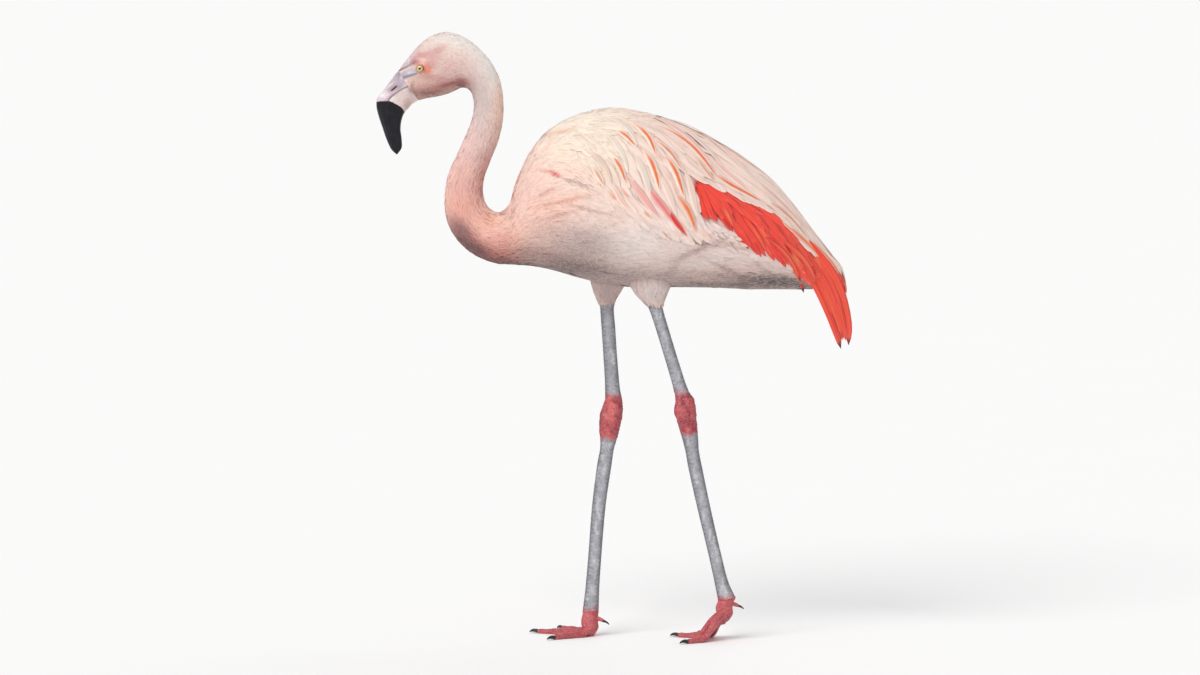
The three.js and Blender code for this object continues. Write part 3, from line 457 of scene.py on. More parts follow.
# ------------------------------------------------------------------------------------------------ materials
class Nodes:
    def __init__(self, name):
        self.m = bpy.data.materials.new(name)
        self.m.use_nodes = True
        self.t = self.m.node_tree
        self.t.nodes.clear()
        self.out = self.t.nodes.new("ShaderNodeOutputMaterial")
        self.b = self.t.nodes.new("ShaderNodeBsdfPrincipled")
        self.t.links.new(self.b.outputs[0], self.out.inputs[0])

    def set(self, **kw):
        for k, v in kw.items():
            self.b.inputs[k.replace("_", " ")].default_value = v
        return self

    def node(self, kind, **kw):
        n = self.t.nodes.new(kind)
        for k, v in kw.items():
            setattr(n, k, v)
        return n

    def link(self, a, b):
        self.t.links.new(a, b)

    def attr(self, name, out="Fac"):
        return self.node("ShaderNodeAttribute", attribute_name=name).outputs[out]

    def math(self, op, a, b=None, c=None, clamp=False):
        n = self.node("ShaderNodeMath", operation=op, use_clamp=clamp)
        for i, v in enumerate((a, b, c)):
            if v is None:
                continue
            if isinstance(v, (int, float)):
                n.inputs[i].default_value = v
            else:
                self.link(v, n.inputs[i])
        return n.outputs[0]

    def ramp(self, x, a, b):
        """0 at a, 1 at b, smooth between."""
        n = self.node("ShaderNodeMapRange", interpolation_type="SMOOTHSTEP")
        self.link(x, n.inputs["Value"])
        n.inputs["From Min"].default_value, n.inputs["From Max"].default_value = a, b
        return n.outputs[0]

    def mix(self, f, a, b, blend="MIX"):
        n = self.node("ShaderNodeMix", data_type="RGBA", blend_type=blend)
        for sock, v in ((n.inputs[0], f), (n.inputs[6], a), (n.inputs[7], b)):
            if isinstance(v, (int, float)):
                sock.default_value = v
            elif isinstance(v, (tuple, list, np.ndarray)):
                sock.default_value = (*[float(q) for q in v], 1.0)
            else:
                self.link(v, sock)
        return n.outputs[2]

    def noise(self, scale, detail=3.0, rough=0.55, vector=None):
        n = self.node("ShaderNodeTexNoise")
        n.inputs["Scale"].default_value, n.inputs["Detail"].default_value, n.inputs["Roughness"].default_value = scale, detail, rough
        self.link(vector if vector is not None else self.coord(), n.inputs["Vector"])
        return n.outputs[0]

    def coord(self):
        if not hasattr(self, "_c"):
            self._c = self.node("ShaderNodeTexCoord").outputs["Object"]
        return self._c

    def bump(self, height, strength, distance):
        n = self.node("ShaderNodeBump")
        n.inputs["Strength"].default_value, n.inputs["Distance"].default_value = strength, distance
        self.link(height, n.inputs["Height"])
        self.link(n.outputs[0], self.b.inputs["Normal"])
        return n


def feather_material(name, barbs=26.0, streaks=False, fringe=0.18, rough=0.78, edge_shade=0.0):
    """Vanes: the coat's own colour, finely barbed, paler at the fringe, a faint shaft, where asked a coloured streak
    along the shaft, and where asked painted shade along one edge.
    """
    m = Nodes(name)
    sep = m.node("ShaderNodeSeparateXYZ")
    m.link(m.attr("vane", "Vector"), sep.inputs[0])
    along, across, rnd = sep.outputs
    edge = m.math("ABSOLUTE", across)
    base = m.attr("c_tint", "Color")
    # each feather is a little lighter or darker than its neighbours, and the coat is softly mottled
    tone = m.math("ADD", m.math("MULTIPLY", rnd, 0.16), 0.92)
    mott = m.math("ADD", m.math("MULTIPLY", m.noise(38.0, 3.0), 0.22), 0.89)
    col = m.mix(1.0, base, m.math("MULTIPLY", tone, mott), "MULTIPLY")
    # the rachis side is deeper in colour and the fringe paler
    warm = m.mix(1.0, base, (0.93, 0.80, 0.76), "MULTIPLY")
    col = m.mix(m.math("MULTIPLY", m.ramp(along, 0.75, 0.15), 0.35), col, warm)
    pale = m.mix(0.6, base, (1.0, 0.96, 0.93))
    col = m.mix(m.math("MULTIPLY", m.ramp(edge, 0.55, 1.0), fringe), col, pale)
    col = m.mix(m.math("MULTIPLY", m.ramp(along, 0.8, 1.0), fringe * 1.4), col, pale)
    if streaks:
        streak, reach = m.attr("streak"), m.attr("reach")
        wob = m.math("MULTIPLY", m.math("SUBTRACT", m.noise(120.0, 2.0), 0.5), 0.25)
        line = m.ramp(m.math("ADD", edge, wob), 0.78, 0.10)
        span = m.math("MULTIPLY", m.ramp(m.math("SUBTRACT", along, reach), 0.04, 0.52), m.ramp(along, 1.02, 0.80))
        col = m.mix(m.math("MULTIPLY", m.math("MULTIPLY", line, span), streak, clamp=True), col, m.attr("c_streak", "Color"))
        dark = m.attr("dark")
        tip = m.ramp(m.math("ADD", m.math("SUBTRACT", along, m.math("SUBTRACT", 1.0, dark)), m.math("MULTIPLY", wob, 0.3)), -0.03, 0.05)
        col = m.mix(m.math("MULTIPLY", tip, m.ramp(dark, 0.0, 0.02)), col, (0.016, 0.013, 0.015))
    # painted shade: where asked, one edge of each feather is darker
    if edge_shade:
        rim = m.math("MULTIPLY", m.ramp(across, 0.45, 0.98), m.ramp(along, 0.1, 0.4))
        col = m.mix(m.math("MULTIPLY", rim, edge_shade), col, m.mix(1.0, base, (0.50, 0.40, 0.38), "MULTIPLY"))
    # barbs slant away from the shaft
    wave = m.math("SINE", m.math("MULTIPLY", m.math("SUBTRACT", m.math("MULTIPLY", along, barbs), m.math("MULTIPLY", edge, barbs * 0.30)), 6.2832))
    shade = m.math("ADD", m.math("MULTIPLY", wave, 0.035), 0.985)
    col = m.mix(1.0, col, shade, "MULTIPLY")
    m.link(col, m.b.inputs["Base Color"])
    shaft = m.ramp(edge, 0.10, 0.02)
    m.bump(m.math("ADD", m.math("MULTIPLY", wave, 0.35), shaft), 0.35, 0.0004)
    m.set(Roughness=rough, Specular_IOR_Level=0.25, Sheen_Weight=0.25, Sheen_Roughness=0.6)
    m.b.inputs["Sheen Tint"].default_value = (1.0, 0.93, 0.9, 1.0)
    return m.m


m_down = feather_material("down", barbs=14.0)
m_vane = feather_material("body_vane", barbs=20.0, fringe=0.3)
m_wing = feather_material("wing_vane", barbs=34.0, streaks=True, fringe=0.35, rough=0.7, edge_shade=0.5)
m_red = feather_material("red_vane", barbs=34.0, streaks=True, fringe=0.07, rough=0.66, edge_shade=0.75)

# ------------------------------------------------------------------------------------------------ the skin
EYE = np.array([-288.7, 16.4, 857.4])
EYE_R = 7.2
FACE0 = 9.12  # where the feathered skin begins, just behind the bill
SKIN_END = 43.4


def eye_distance(P):
    """How far a place is from the nearer eye's axis, in side view; large near the middle plane."""
    r = np.hypot(P[..., 0] - EYE[0], P[..., 2] - EYE[2])
    return np.where(np.abs(P[..., 1]) > 6, r, 99.0)


def spot_distance(P):
    """Within 1: the bare orange spot just behind each eye."""
    x, y = (P[..., 0] + MID) / 1.5 + 613.0, 640.0 - P[..., 2] / 1.5
    return np.where(np.abs(P[..., 1]) > 6, np.hypot((x - 428.4) / 4.0, (y - 71.2) / 3.6), 9.0)


def skin_height(T, phi):
    """The skin's height over the outline: negative, with a swollen rim of lids round each eye and the eye's hollow."""
    h = -skin_depth(T)
    p = bird(T, phi, h)
    r = eye_distance(p)
    # lids: a rim a little above the ball, thicker above than below, then a shallow groove, then the brow
    a = np.arctan2(p[..., 2] - EYE[2], -(p[..., 0] - EYE[0]))
    rim = 4.7 + 0.45 * np.cos(2 * a) - 0.25 * np.sin(a)
    lid = 2.3 * np.exp(-(((r - rim - 1.0) / 1.1) ** 2)) + 0.6 * np.exp(-(((r - rim - 3.2) / 0.9) ** 2)) * (0.6 + 0.4 * np.sin(a))
    hollow = -3.2 * (1 - np.clip((r - rim + 1.0) / 1.0, 0, 1))
    brow = 1.2 * np.exp(-(((p[..., 0] - EYE[0] + 3) / 11) ** 2 + ((p[..., 2] - EYE[2] - 12.5) / 3.2) ** 2))
    wrinkle = 0.16 * np.sin(r * 3.1) * np.exp(-(((r - 10) / 3.0) ** 2))
    near = r < 90
    return h + np.where(near, lid + hollow + brow + wrinkle, 0.0)


def loft_mesh(surface, Ts, n, height, ends=(True, True)):
    """Vertices, quads and (T, phi) of a loft's surface at a height function, with its ends closed by fans of small rings."""
    phi = np.linspace(-np.pi / 2, 1.5 * np.pi, n + 1)
    TT, PP = np.meshgrid(Ts, phi, indexing="ij")
    V = surface(TT, PP, height(TT, PP))
    V[:, -1] = V[:, 0]
    rows = [V]
    grids = [(TT, PP)]
    for end, at in zip(ends, (0, -1)):
        if end:
            ring = V[at]
            c = ring[:-1].mean(0)
            caps = np.stack([c + (ring - c) * s for s in (0.66, 0.33, 0.004)])
            if at == 0:
                rows.insert(0, caps[::-1]), grids.insert(0, (np.repeat(TT[:1], 3, 0), PP[:3]))
            else:
                rows.append(caps), grids.append((np.repeat(TT[-1:], 3, 0), PP[:3]))
    V = np.concatenate(rows)
    TT, PP = np.concatenate([g[0] for g in grids]), np.concatenate([g[1] for g in grids])
    R = len(V)
    idx = np.arange(R * n).reshape(R, n)
    nxt = np.roll(idx, -1, axis=1)
    q = np.stack([idx[:-1], idx[1:], nxt[1:], nxt[:-1]], -1).reshape(-1, 4)
    # the unwrap needs the seam's own corner, so corners carry column numbers
    col = np.arange(n)
    cq = np.stack(np.broadcast_arrays(col, col, col + 1, col + 1), -1)[None].repeat(R - 1, 0).reshape(-1, 4)
    rq = np.stack(np.broadcast_arrays(*[np.arange(R - 1)[:, None] + k for k in (0, 1, 1, 0)]), -1)
    rq = np.broadcast_to(rq, (R - 1, n, 4)).reshape(-1, 4)
    return V[:, :n].reshape(-1, 3), q, TT, PP, rq, cq


Ts = np.concatenate([np.arange(FACE0, 13.2, 0.03), np.arange(13.2, 19, 0.09), np.arange(19, 29, 0.12), np.arange(29, SKIN_END, 0.13), [SKIN_END]])
V, Q, TT, PP, rq, cq = loft_mesh(bird, Ts, 168, skin_height)
UVg = np.stack([0.012 + 0.76 * (PP + np.pi / 2) / (2 * np.pi), 0.012 + 0.976 * np.interp(TT, _T, _arc) / _arc[-1]], -1)
skin_parts = [(V, Q, UVg[rq, cq].reshape(-1, 2))]


# the thighs, as side-view stations [front x, front z, back x, back z, half width]
HIP_Y, FOOT_Y = 36, 21
FORE = dict(side=1,
    thigh=[(-44, 600, 30, 600, 27), (-40, 560, 25, 558, 24), (-34, 536, 20, 536, 19.5), (-29.5, 520, 13, 521, 14.5), (-23.5, 505, 4, 506, 10), (-19.5, 493, 1.6, 493, 8)],
    leg=[(-20.6, 517, 3.4, 517, 7.4), (-20.0, 503, 2.0, 503, 7.5), (-19.2, 492.4, 1.4, 492.4, 7.4), (-17.6, 470, 3.2, 470, 6.8), (-14.6, 425, 6.2, 425, 6.6), (-12.0, 374, 10.6, 374, 7.7), (-12.8, 356, 13.6, 358, 10.2), (-19.6, 335, 15.2, 340, 12.6),
         (-21.0, 318, 12.4, 322, 12.0), (-19.4, 301, 7.4, 302, 9.6), (-19.4, 284, 1.6, 283, 7.6), (-23.4, 262, -1.8, 260, 6.7), (-31.2, 200, -10.8, 198, 6.2), (-37.4, 120, -17.4, 120, 6.3), (-41.8, 70, -20.6, 70, 7.2),
         (-46.0, 36, -21.4, 36, 8.8)],
    joint=(-34.5, 13), hock=36, yaws=(32, -20, -54), ankle=(366, 298), names="right")
HIND = dict(side=-1,
    thigh=[(4, 600, 92, 600, 27), (12, 560, 91, 560, 24), (22, 540, 88, 540, 20), (33, 522, 81, 522, 15), (46, 508, 76, 508, 10.5), (54.8, 496.4, 75.4, 496.4, 8)],
    leg=[(46.5, 519, 70.0, 519, 7.5), (50.6, 506, 73.0, 506, 7.6), (55.0, 495.8, 75.4, 495.6, 7.4), (62.6, 473, 82.4, 472, 6.8), (77.6, 424, 97.6, 422, 6.6), (90.4, 378, 113.0, 377, 7.7), (92.6, 362, 121.4, 364, 10.2), (91.0, 346, 124.0, 346, 12.6),
         (96.8, 326, 125.8, 328, 12.0), (103.4, 304, 127.4, 304, 9.6), (107.6, 288, 128.6, 286, 7.6), (112.4, 262, 133.6, 260, 6.7), (127.0, 196, 147.4, 194, 6.2), (142.4, 132, 162.4, 129, 6.3), (151.6, 90, 173.4, 87, 7.2),
         (157.4, 60, 184.0, 64, 8.8)],
    joint=(167.5, 41), hock=60, yaws=(-54, -24, 30), ankle=(377, 311), names="left")


class Limb(Loft):
    """A leg's loft, which leans inward from the hip to the foot."""

    def __init__(self, rows, side):
        super().__init__([(*r, 0.5) for r in rows])
        self.side = side

    def __call__(self, T, phi, h=0.0):
        p = super().__call__(T, phi, h)
        p[..., 1] += self.side * (FOOT_Y + (HIP_Y - FOOT_Y) * np.maximum(0, p[..., 2] - 20) / 560)
        return p


thigh_depth = lambda T: np.interp(T, [0, 2, 4, 5], [3.4, 2.6, 1.6, 0.6])
thighs = []
for k, spec in enumerate((FORE, HIND)):
    th = Limb(spec["thigh"], spec["side"])
    thighs.append(th)
    V, Q, TT, PP, rq, cq = loft_mesh(th, np.linspace(0.2, 4.05, 36), 48, lambda T, p: -thigh_depth(T))
    UVt = np.stack([0.80 + 0.09 * (PP + np.pi / 2) / (2 * np.pi), 0.02 + 0.45 * TT / 5 + 0.5 * k], -1)
    skin_parts.append((V, Q, UVt[rq, cq].reshape(-1, 2)))


def thigh_unwrap(T, phi, k):
    return np.stack([0.80 + 0.09 * (((phi + np.pi / 2) / (2 * np.pi)) % 1.0), 0.02 + 0.45 * T / 5 + 0.5 * k], -1)


def skin_material():
    m = Nodes("plumage_skin")
    base = m.attr("c_tint", "Color")
    n = m.noise(60.0, 4.0)
    col = m.mix(1.0, base, m.math("ADD", m.math("MULTIPLY", n, 0.3), 0.84), "MULTIPLY")
    # between the feathers the down is shaded
    deep = m.mix(1.0, col, (0.98, 0.93, 0.92), "MULTIPLY")
    col = m.mix(m.attr("down"), col, deep)
    # the bare skin's fine pebbling and creases
    bare = m.attr("bare")
    col = m.mix(m.math("MULTIPLY", bare, m.ramp(m.noise(420.0, 3.0), 0.35, 0.75)), col, m.mix(1.0, col, (0.80, 0.74, 0.76), "MULTIPLY"))
    m.link(col, m.b.inputs["Base Color"])
    v = m.node("ShaderNodeTexVoronoi", feature="SMOOTH_F1")
    v.inputs["Scale"].default_value = 900.0
    m.link(m.coord(), v.inputs["Vector"])
    m.bump(m.math("ADD", m.noise(700.0, 4.0), m.math("MULTIPLY", v.outputs["Distance"], 0.8)), 0.45, 0.0004)
    m.set(Roughness=0.72, Specular_IOR_Level=0.3)
    return m.m


Vs, Qs, Us, base = [], [], [], 0
for V, Q, U in skin_parts:
    Vs.append(V), Qs.append(Q + base), Us.append(U)
    base += len(V)
Vs = np.concatenate(Vs)
er = eye_distance(Vs)
lore = inside(Vs, LORE) & (np.abs(Vs[:, 1]) > 5)
bare = np.maximum(np.maximum(np.where(lore, 1.0, 0.0), np.clip((10 - er) / 2, 0, 1)), np.clip((1.15 - spot_distance(Vs)) / 0.3, 0, 1))
skin_tint = tint(Vs)
Qs = np.concatenate(Qs)
_fn = np.cross(Vs[Qs[:, 2]] - Vs[Qs[:, 0]], Vs[Qs[:, 3]] - Vs[Qs[:, 1]])
_vn = np.zeros_like(Vs)
for _k in range(4):
    np.add.at(_vn, Qs[:, _k], _fn)
_vn /= np.linalg.norm(_vn, axis=1, keepdims=True) + 1e-12
if _vn[np.argmax(Vs[:, 2]), 2] < 0:
    _vn = -_vn
# painted shade: the skin is darkened and greyed where it faces down
skin_tint = skin_tint * painted_underside_shade(_vn[:, 2])
red_zone = inside(Vs, REDV) & (np.abs(Vs[:, 1]) > np.interp(Vs[:, 0], *NOTMID))
skin_tint[red_zone] = lin((206, 50, 44))
def stain(c, w, colour):
    return c * (1 - w[:, None]) + lin(colour) * w[:, None]


px, py = picture(Vs)
skin_tint = stain(skin_tint, np.clip(1.25 - spot_distance(Vs), 0, 0.5) / 0.5 * 0.8, (240, 146, 126))
skin_tint = stain(skin_tint, np.clip(1.7 - np.abs(er - 6.6) / 1.3, 0, 1) * 0.6, (206, 138, 130))
skin_tint = stain(skin_tint, np.clip(1.5 - np.abs(er - 5.0) / 0.35, 0, 1) * 0.75, (104, 66, 60))
def soft_lore(x, y):
    u, v = (x - 408.5) * 0.94 - (y - 76.2) * 0.34, (x - 408.5) * 0.34 + (y - 76.2) * 0.94
    return np.exp(-(((u / 11.5) ** 2 + (v / 4.6) ** 2) ** 2))


_lore = soft_lore(px, py) * (np.abs(Vs[:, 1]) > 5)
skin_tint = stain(skin_tint, _lore * 0.9, (166, 166, 180))
skin_tint = stain(skin_tint, _lore * 0.8 * np.exp(-(((px - 411) / 5) ** 2 + ((py - 74.5) / 2.2) ** 2)), (222, 222, 234))
for (x1, y1), (x2, y2), wide, colour, strength in (((399.5, 72.5), (416, 64.5), 1.0, (112, 88, 98), 0.8), ((401, 80.5), (418.5, 75.5), 0.9, (126, 104, 112), 0.75), ((399.5, 72.5), (401, 81), 0.8, (120, 112, 122), 0.7)):
    t = np.clip(((px - x1) * (x2 - x1) + (py - y1) * (y2 - y1)) / ((x2 - x1) ** 2 + (y2 - y1) ** 2), 0, 1)
    d = np.hypot(px - x1 - t * (x2 - x1), py - y1 - t * (y2 - y1))
    skin_tint = stain(skin_tint, strength * np.exp(-((d / wide) ** 2)) * (er > 7), colour)
skin = mesh("skin", Vs, Qs, np.concatenate(Us), {"c_tint": skin_tint, "bare": bare, "down": 1.0 - bare}, skin_material())
finish_piece(skin, "plumage_body", "head", "neck_1", "neck_2", "neck_3", "neck_4", "trunk", "thigh_right", "thigh_left", "tail", "wing_right", "wing_left")

# ------------------------------------------------------------------------------------------------ the coat
ORANGE, DEEP, SCARLET = lin((238, 122, 70)), lin((206, 36, 34)), lin((252, 70, 54))
STREAKS = [((638.6, 131.6), (654, 156)), ((647.7, 160), (657, 191.7)), ((670, 165.6), (681.7, 199.6)), ((617.6, 168), (625.5, 185)), ((599, 177), (604.6, 188)),
           ((690, 138), (722, 190)), ((722, 186), (768, 208)), ((655, 132), (690, 178)), ((626, 134), (634, 146)), ((692, 225), (696, 236))]


def on_wing(P):
    return inside(P, WING) & (np.abs(P[..., 1]) > np.interp(P[..., 0] + MID, *NOTMID) - 4)


def flow_wing(p, dt, nn):
    a = hang_angle(p)
    return np.stack([np.cos(a), np.zeros_like(a), -np.sin(a)], -1)


def coat(name, surface, T, phi, length, half, h0, h1, seed, steps, slot, material, uv, colour=tint, columns=3, extra=None, **kw):
    """Feathers of one kind, as a part for a piece. colour gives the colour at each place of a feather's path."""
    f = feathers(surface, T, phi, length, half, h0, h1, seed, steps, **kw)
    # painted shade: feathers whose roots face down are darkened and greyed
    shade = painted_underside_shade(surface.frame(T, phi)[3][..., 2])[:, None]
    return (*f, uv, colour(f[0]) * shade, extra or {})


def piece_of(name, parts, slot, material, columns=3, camber=0.2, nodes=()):
    ob = vanes(name, parts, material, columns, camber)
    return finish_piece(ob, slot, *nodes)


# face and crown: tiny soft tufts, none on the lore, the lids, the red spot or the bill
T, phi = roots(bird, FACE0 + 0.02, 18.6, lambda t: np.interp(t, [9, 12, 15, 19], [1.6, 1.8, 2.1, 2.5]), lambda t: np.interp(t, [9, 12, 15, 19], [0.95, 1.05, 1.15, 1.3]), 11)
p = bird(T, phi)
keep = (eye_distance(p) > 7.6) & ~inside(p, LORE) & (spot_distance(p) > 1.0)
T, phi, p = T[keep], phi[keep], p[keep]
near = np.clip((eye_distance(p) - 7.5) / 14, 0, 1)
long = np.interp(T, [9, 12, 15, 18.6], [4.2, 5.6, 7.6, 9.5]) * (0.5 + 0.5 * near)
face = coat("", bird, T, phi, long, long * 0.125, -skin_depth(T) - 0.1, np.interp(T, [9, 12, 19], [0.0, 0.05, 0.1]), 12, [0, 0.5, 1], "", None, unwrap(T, phi), shape=lance, turn=9, vary=0.25, tilt=14)
piece_of("coat_face", [face], "plumage_face", m_down, camber=0.15)

# neck: short soft feathers that lie close
T, phi = roots(bird, 18.3, 30.6, lambda t: np.interp(t, [18, 24, 30], [2.6, 3.0, 3.6]), lambda t: np.interp(t, [18, 24, 30], [1.25, 1.45, 1.9]), 21)
long = np.interp(T, [18, 24, 28, 30.6], [10, 13, 16, 19])
neck = coat("", bird, T, phi, long, long * 0.095, -skin_depth(T) - 0.1, 0.15, 22, [0, 0.5, 1], "", None, unwrap(T, phi), shape=lance, turn=7, vary=0.25, tilt=14)
piece_of("coat_neck", [neck], "plumage_neck", m_down, camber=0.15)


# trunk: breast, belly, flanks, mantle and tail coverts
def flow_trunk(p, dt, nn):
    d = dt / (np.linalg.norm(dt, axis=-1, keepdims=True) + 1e-9)
    x, y = picture(p)
    hang = np.clip((x - 500) / 80, 0, 1) * np.clip((262 - y) / 60, 0, 1) * 0.42
    return d + np.stack([np.zeros_like(hang), np.zeros_like(hang), -hang], -1)


for name, T0, T1, seed in (("coat_breast", 29.7, 34.4, 31), ("coat_trunk", 34.4, 38.6, 35), ("coat_vent", 38.6, 43.25, 38)):
    T, phi = roots(bird, T0, T1, lambda t: np.interp(t, [29, 33, 36], [3.9, 5.0, 5.8]), lambda t: np.interp(t, [29, 33, 36], [2.2, 3.1, 3.6]), seed)
    p = bird(T, phi)
    keep = ~on_wing(p + np.array([-16.0, 0, 4.0])) | (np.abs(p[:, 1]) < np.interp(p[:, 0], *NOTMID) + 8)
    T, phi, p = T[keep], phi[keep], p[keep]
    long = np.interp(T, [29.6, 32, 35, 38, 41.5, 42.6, 43.25], [19, 23, 28, 31, 32, 22, 11])
    body = coat("", bird, T, phi, long, long * np.interp(T, [29.6, 33], [0.085, 0.115]), -skin_depth(T) - 0.25, 0.15, seed + 1, [0, 0.3, 0.62, 0.82, 0.93, 1], "", None, unwrap(T, phi), flow=flow_trunk, turn=6, shape=plump, vary=0.24, tilt=5)
    piece_of(name, [body], "plumage_body", m_vane, camber=0.09)

# thighs: soft down that hangs
parts = []
for k, th in enumerate(thighs):
    T, phi = roots(th, 0.4, 3.98, 3.2, 1.8, 41 + k)
    p = th(T, phi)
    keep = p[:, 2] < 548
    T, phi = T[keep], phi[keep]
    long = np.interp(T, [0, 2, 3.98], [24, 17, 7.5])
    parts.append(coat("", th, T, phi, long, long * 0.1, -thigh_depth(T) - 0.1, 0.0, 43 + k, [0, 0.3, 0.65, 1], "", None, thigh_unwrap(T, phi, k), shape=lance, turn=9, vary=0.5, tilt=10))
piece_of("coat_thighs", parts, "plumage_pale", m_down)


def streaky(P0, seed, base_share, near_share):
    """How strongly each feather is streaked: strongest where the drawn streaks are."""
    rs = np.random.default_rng(seed)
    x, y = picture(P0)
    d = np.full(len(x), 99.0)
    for (x1, y1), (x2, y2) in STREAKS:
        dx, dy = x2 - x1, y2 - y1
        t = np.clip(((x - x1) * dx + (y - y1) * dy) / (dx * dx + dy * dy), 0, 0.75)
        d = np.minimum(d, np.hypot(x - x1 - t * dx, y - y1 - t * dy))
    share = base_share + (near_share - base_share) * np.exp(-((d / 8.0) ** 2))
    return np.where(rs.uniform(0, 1, len(x)) < share, rs.uniform(0.55, 1.0, len(x)), rs.uniform(0, 0.10, len(x)))


def wing_group(T0, T1, along, across, seed, region, long, wide, h0, h1, steps, colour=tint, streak=(0.0, 0.0), reach=(0.25, 0.5), dark=None, shape=rounded, turn=5.0, flow=flow_wing, streak_colour=None,
               stop=None, least=18.0, jitter=0.32, shaded=1.0):
    """Feathers of the wing. stop says where a feather may not lie: each is shortened to end at that place's edge."""
    T, phi = roots(bird, T0, T1, along, across, seed, jitter=jitter)
    p = bird(T, phi)
    keep = region(p)
    T, phi, p = T[keep], phi[keep], p[keep]
    rs = np.random.default_rng(seed + 500)
    n = len(T)
    ln = long(p) if callable(long) else np.full(n, float(long))
    ok = np.ones(n, bool)
    if stop is not None:
        us = np.linspace(0, 1, 16)
        bad = stop(feathers(bird, T, phi, ln, wide, h0, h1, seed + 1, us, flow=flow, shape=shape, turn=turn)[0])
        first = np.where(bad.any(1), us[bad.argmax(1)], 1.0)
        over = rs.uniform(-2.0, 4.0, n)
        ln = np.where(first < 1, ln * first + over, ln)
        ok = ln > least
    f = feathers(bird, T, phi, ln, wide, h0, h1, seed + 1, steps, flow=flow, shape=shape, turn=turn)
    dk = np.zeros(n) if dark is None else dark(f[0], rs)
    sc = np.broadcast_to(ORANGE, (n, 3)) if streak_colour is None else streak_colour(p, rs)
    extra = {"streak": streaky(p, seed + 2, *streak), "reach": rs.uniform(*reach, n), "dark": dk, "c_streak": sc * rs.uniform(0.85, 1.12, (n, 1))}
    # painted shade: feathers whose roots face down are darkened and greyed, less so where shaded is small
    shade = painted_underside_shade(bird.frame(T, phi)[3][..., 2])[:, None] ** shaded
    return (f[0][ok], f[1][ok], f[2][ok], f[3][ok], f[4], unwrap(T, phi)[ok], (colour(f[0]) * shade)[ok], {k: v[ok] for k, v in extra.items()})


def in_red(P): return inside(P, REDV)


def past_scapulars(P):
    x, y = picture(P)
    return inside(P, REDV) | ((x < 716) & (y > np.interp(x, [585, 604, 620, 640, 664, 690, 716], [199, 206, 215, 227, 238, 244, 238])))


# lesser coverts, over the shoulder and the wrist: soft and close
SHOULDER = [(546, 148), (556, 178), (568, 188), (594, 194), (607, 202), (620, 215), (642, 224), (652, 200), (640, 120), (612, 94), (560, 106)]
g2 = wing_group(31.5, 38.8, 5.2, 3.1, 51, lambda p: inside(p, SHOULDER) & on_wing(p), 30, 3.6, -2.4, 0.9, [0, 0.3, 0.62, 0.82, 0.93, 1], streak=(0.0, 0.10), reach=(0.2, 0.5), shape=plump, turn=5.0)
# scapulars and median coverts: long, curved and loosely overlapping
SCAP = [(600, 100), (600, 160), (604, 190), (622, 212), (648, 226), (672, 236), (694, 238), (700, 214), (690, 178), (668, 128), (650, 90)]
g3 = wing_group(34.0, 40.0, 26.0, 5.6, 61, lambda p: inside(p + np.array([16.0, 0, -16.0]), SCAP) & on_wing(p), lambda p: np.interp(picture(p)[0], [590, 620, 690], [50, 84, 96]), 5.2, -2.6, 2.0,
                [0, 0.12, 0.3, 0.5, 0.7, 0.84, 0.92, 0.97, 1], streak=(0.03, 0.45), reach=(0.45, 0.65), shape=strap, stop=past_scapulars, jitter=0.48, turn=4.0)
# long inner feathers that run along the upper wing to the tail
UPPER = [(640, 84), (664, 116), (690, 176), (706, 181), (724, 189), (750, 201), (774, 211), (792, 230), (812, 249), (832, 260), (850, 276), (866, 262), (830, 190), (760, 120), (700, 80)]
g5 = wing_group(36.0, 43.7, 36.0, 5.4, 71, lambda p: inside(p, UPPER), lambda p: np.interp(p[:, 0], [40, 200, 330], [150, 126, 60]), 5.4, -2.6, 2.1, [0, 0.08, 0.2, 0.34, 0.48, 0.62, 0.76, 0.87, 0.95, 1],
                streak=(0.06, 0.4), reach=(0.3, 0.6), shape=strap, turn=2.2, stop=in_red, jitter=0.48)


def red_colour(P):
    """The red patch: scarlet, deeper towards its lower edge, oranger towards the tail."""
    x, y = picture(P)
    low = np.interp(x, [690, 716, 742, 769, 796, 830, 850], [222, 224, 246, 258, 280, 300, 345])
    k = np.clip((y - low + 14) / 14, 0, 1)[..., None]
    rear = np.clip((x - 780) / 50, 0, 1)[..., None]
    c = SCARLET * (1 - 0.45 * k) + DEEP * 0.45 * k
    return c * (1 - 0.35 * rear) + lin((240, 100, 66)) * 0.35 * rear


REDROOT = [(684, 170), (704, 170), (724, 180), (750, 192), (776, 202), (796, 222), (816, 242), (838, 256), (850, 272), (840, 276), (812, 268), (792, 256), (772, 240), (752, 230), (735, 220), (718, 206), (694, 200)]


def past_red(P):
    x, y = picture(P)
    return y > np.interp(x, [680, 698.8, 716.5, 734, 743, 754.7, 769, 787, 796, 802, 822, 840, 860], [212, 217, 222, 234, 247, 256, 258, 266, 280, 286, 288, 320, 350])


g4 = wing_group(37.0, 43.7, 24.0, 4.6, 81, lambda p: inside(p, REDROOT), lambda p: np.interp(p[:, 0], [110, 200, 260, 330], [74, 84, 84, 50]), 4.8, -2.6, 1.1, [0, 0.12, 0.3, 0.5, 0.7, 0.84, 0.93, 1], colour=red_colour,
                streak=(0.3, 0.3), reach=(0.0, 0.4), shape=strap, turn=3.0,
                streak_colour=lambda p, rs: np.where(rs.uniform(0, 1, (len(p), 1)) < 0.6, lin((250, 132, 88)), lin((190, 36, 34))), stop=past_red, least=12, shaded=0.4)
# places on the side of the bird under given points of the side view
_gT, _gP = np.meshgrid(np.linspace(31, 44, 520), np.radians(np.linspace(-78, 86, 330)), indexing="ij")
_gS = bird(_gT, _gP, 2.0)


def on_side(points):
    out = []
    for x, y in points:
        d = (_gS[..., 0] - PX(x)) ** 2 + (lowered(_gS) - PZ(y)) ** 2
        i = np.unravel_index(d.argmin(), d.shape)
        out.append((_gT[i], _gP[i]))
    return np.array(out)


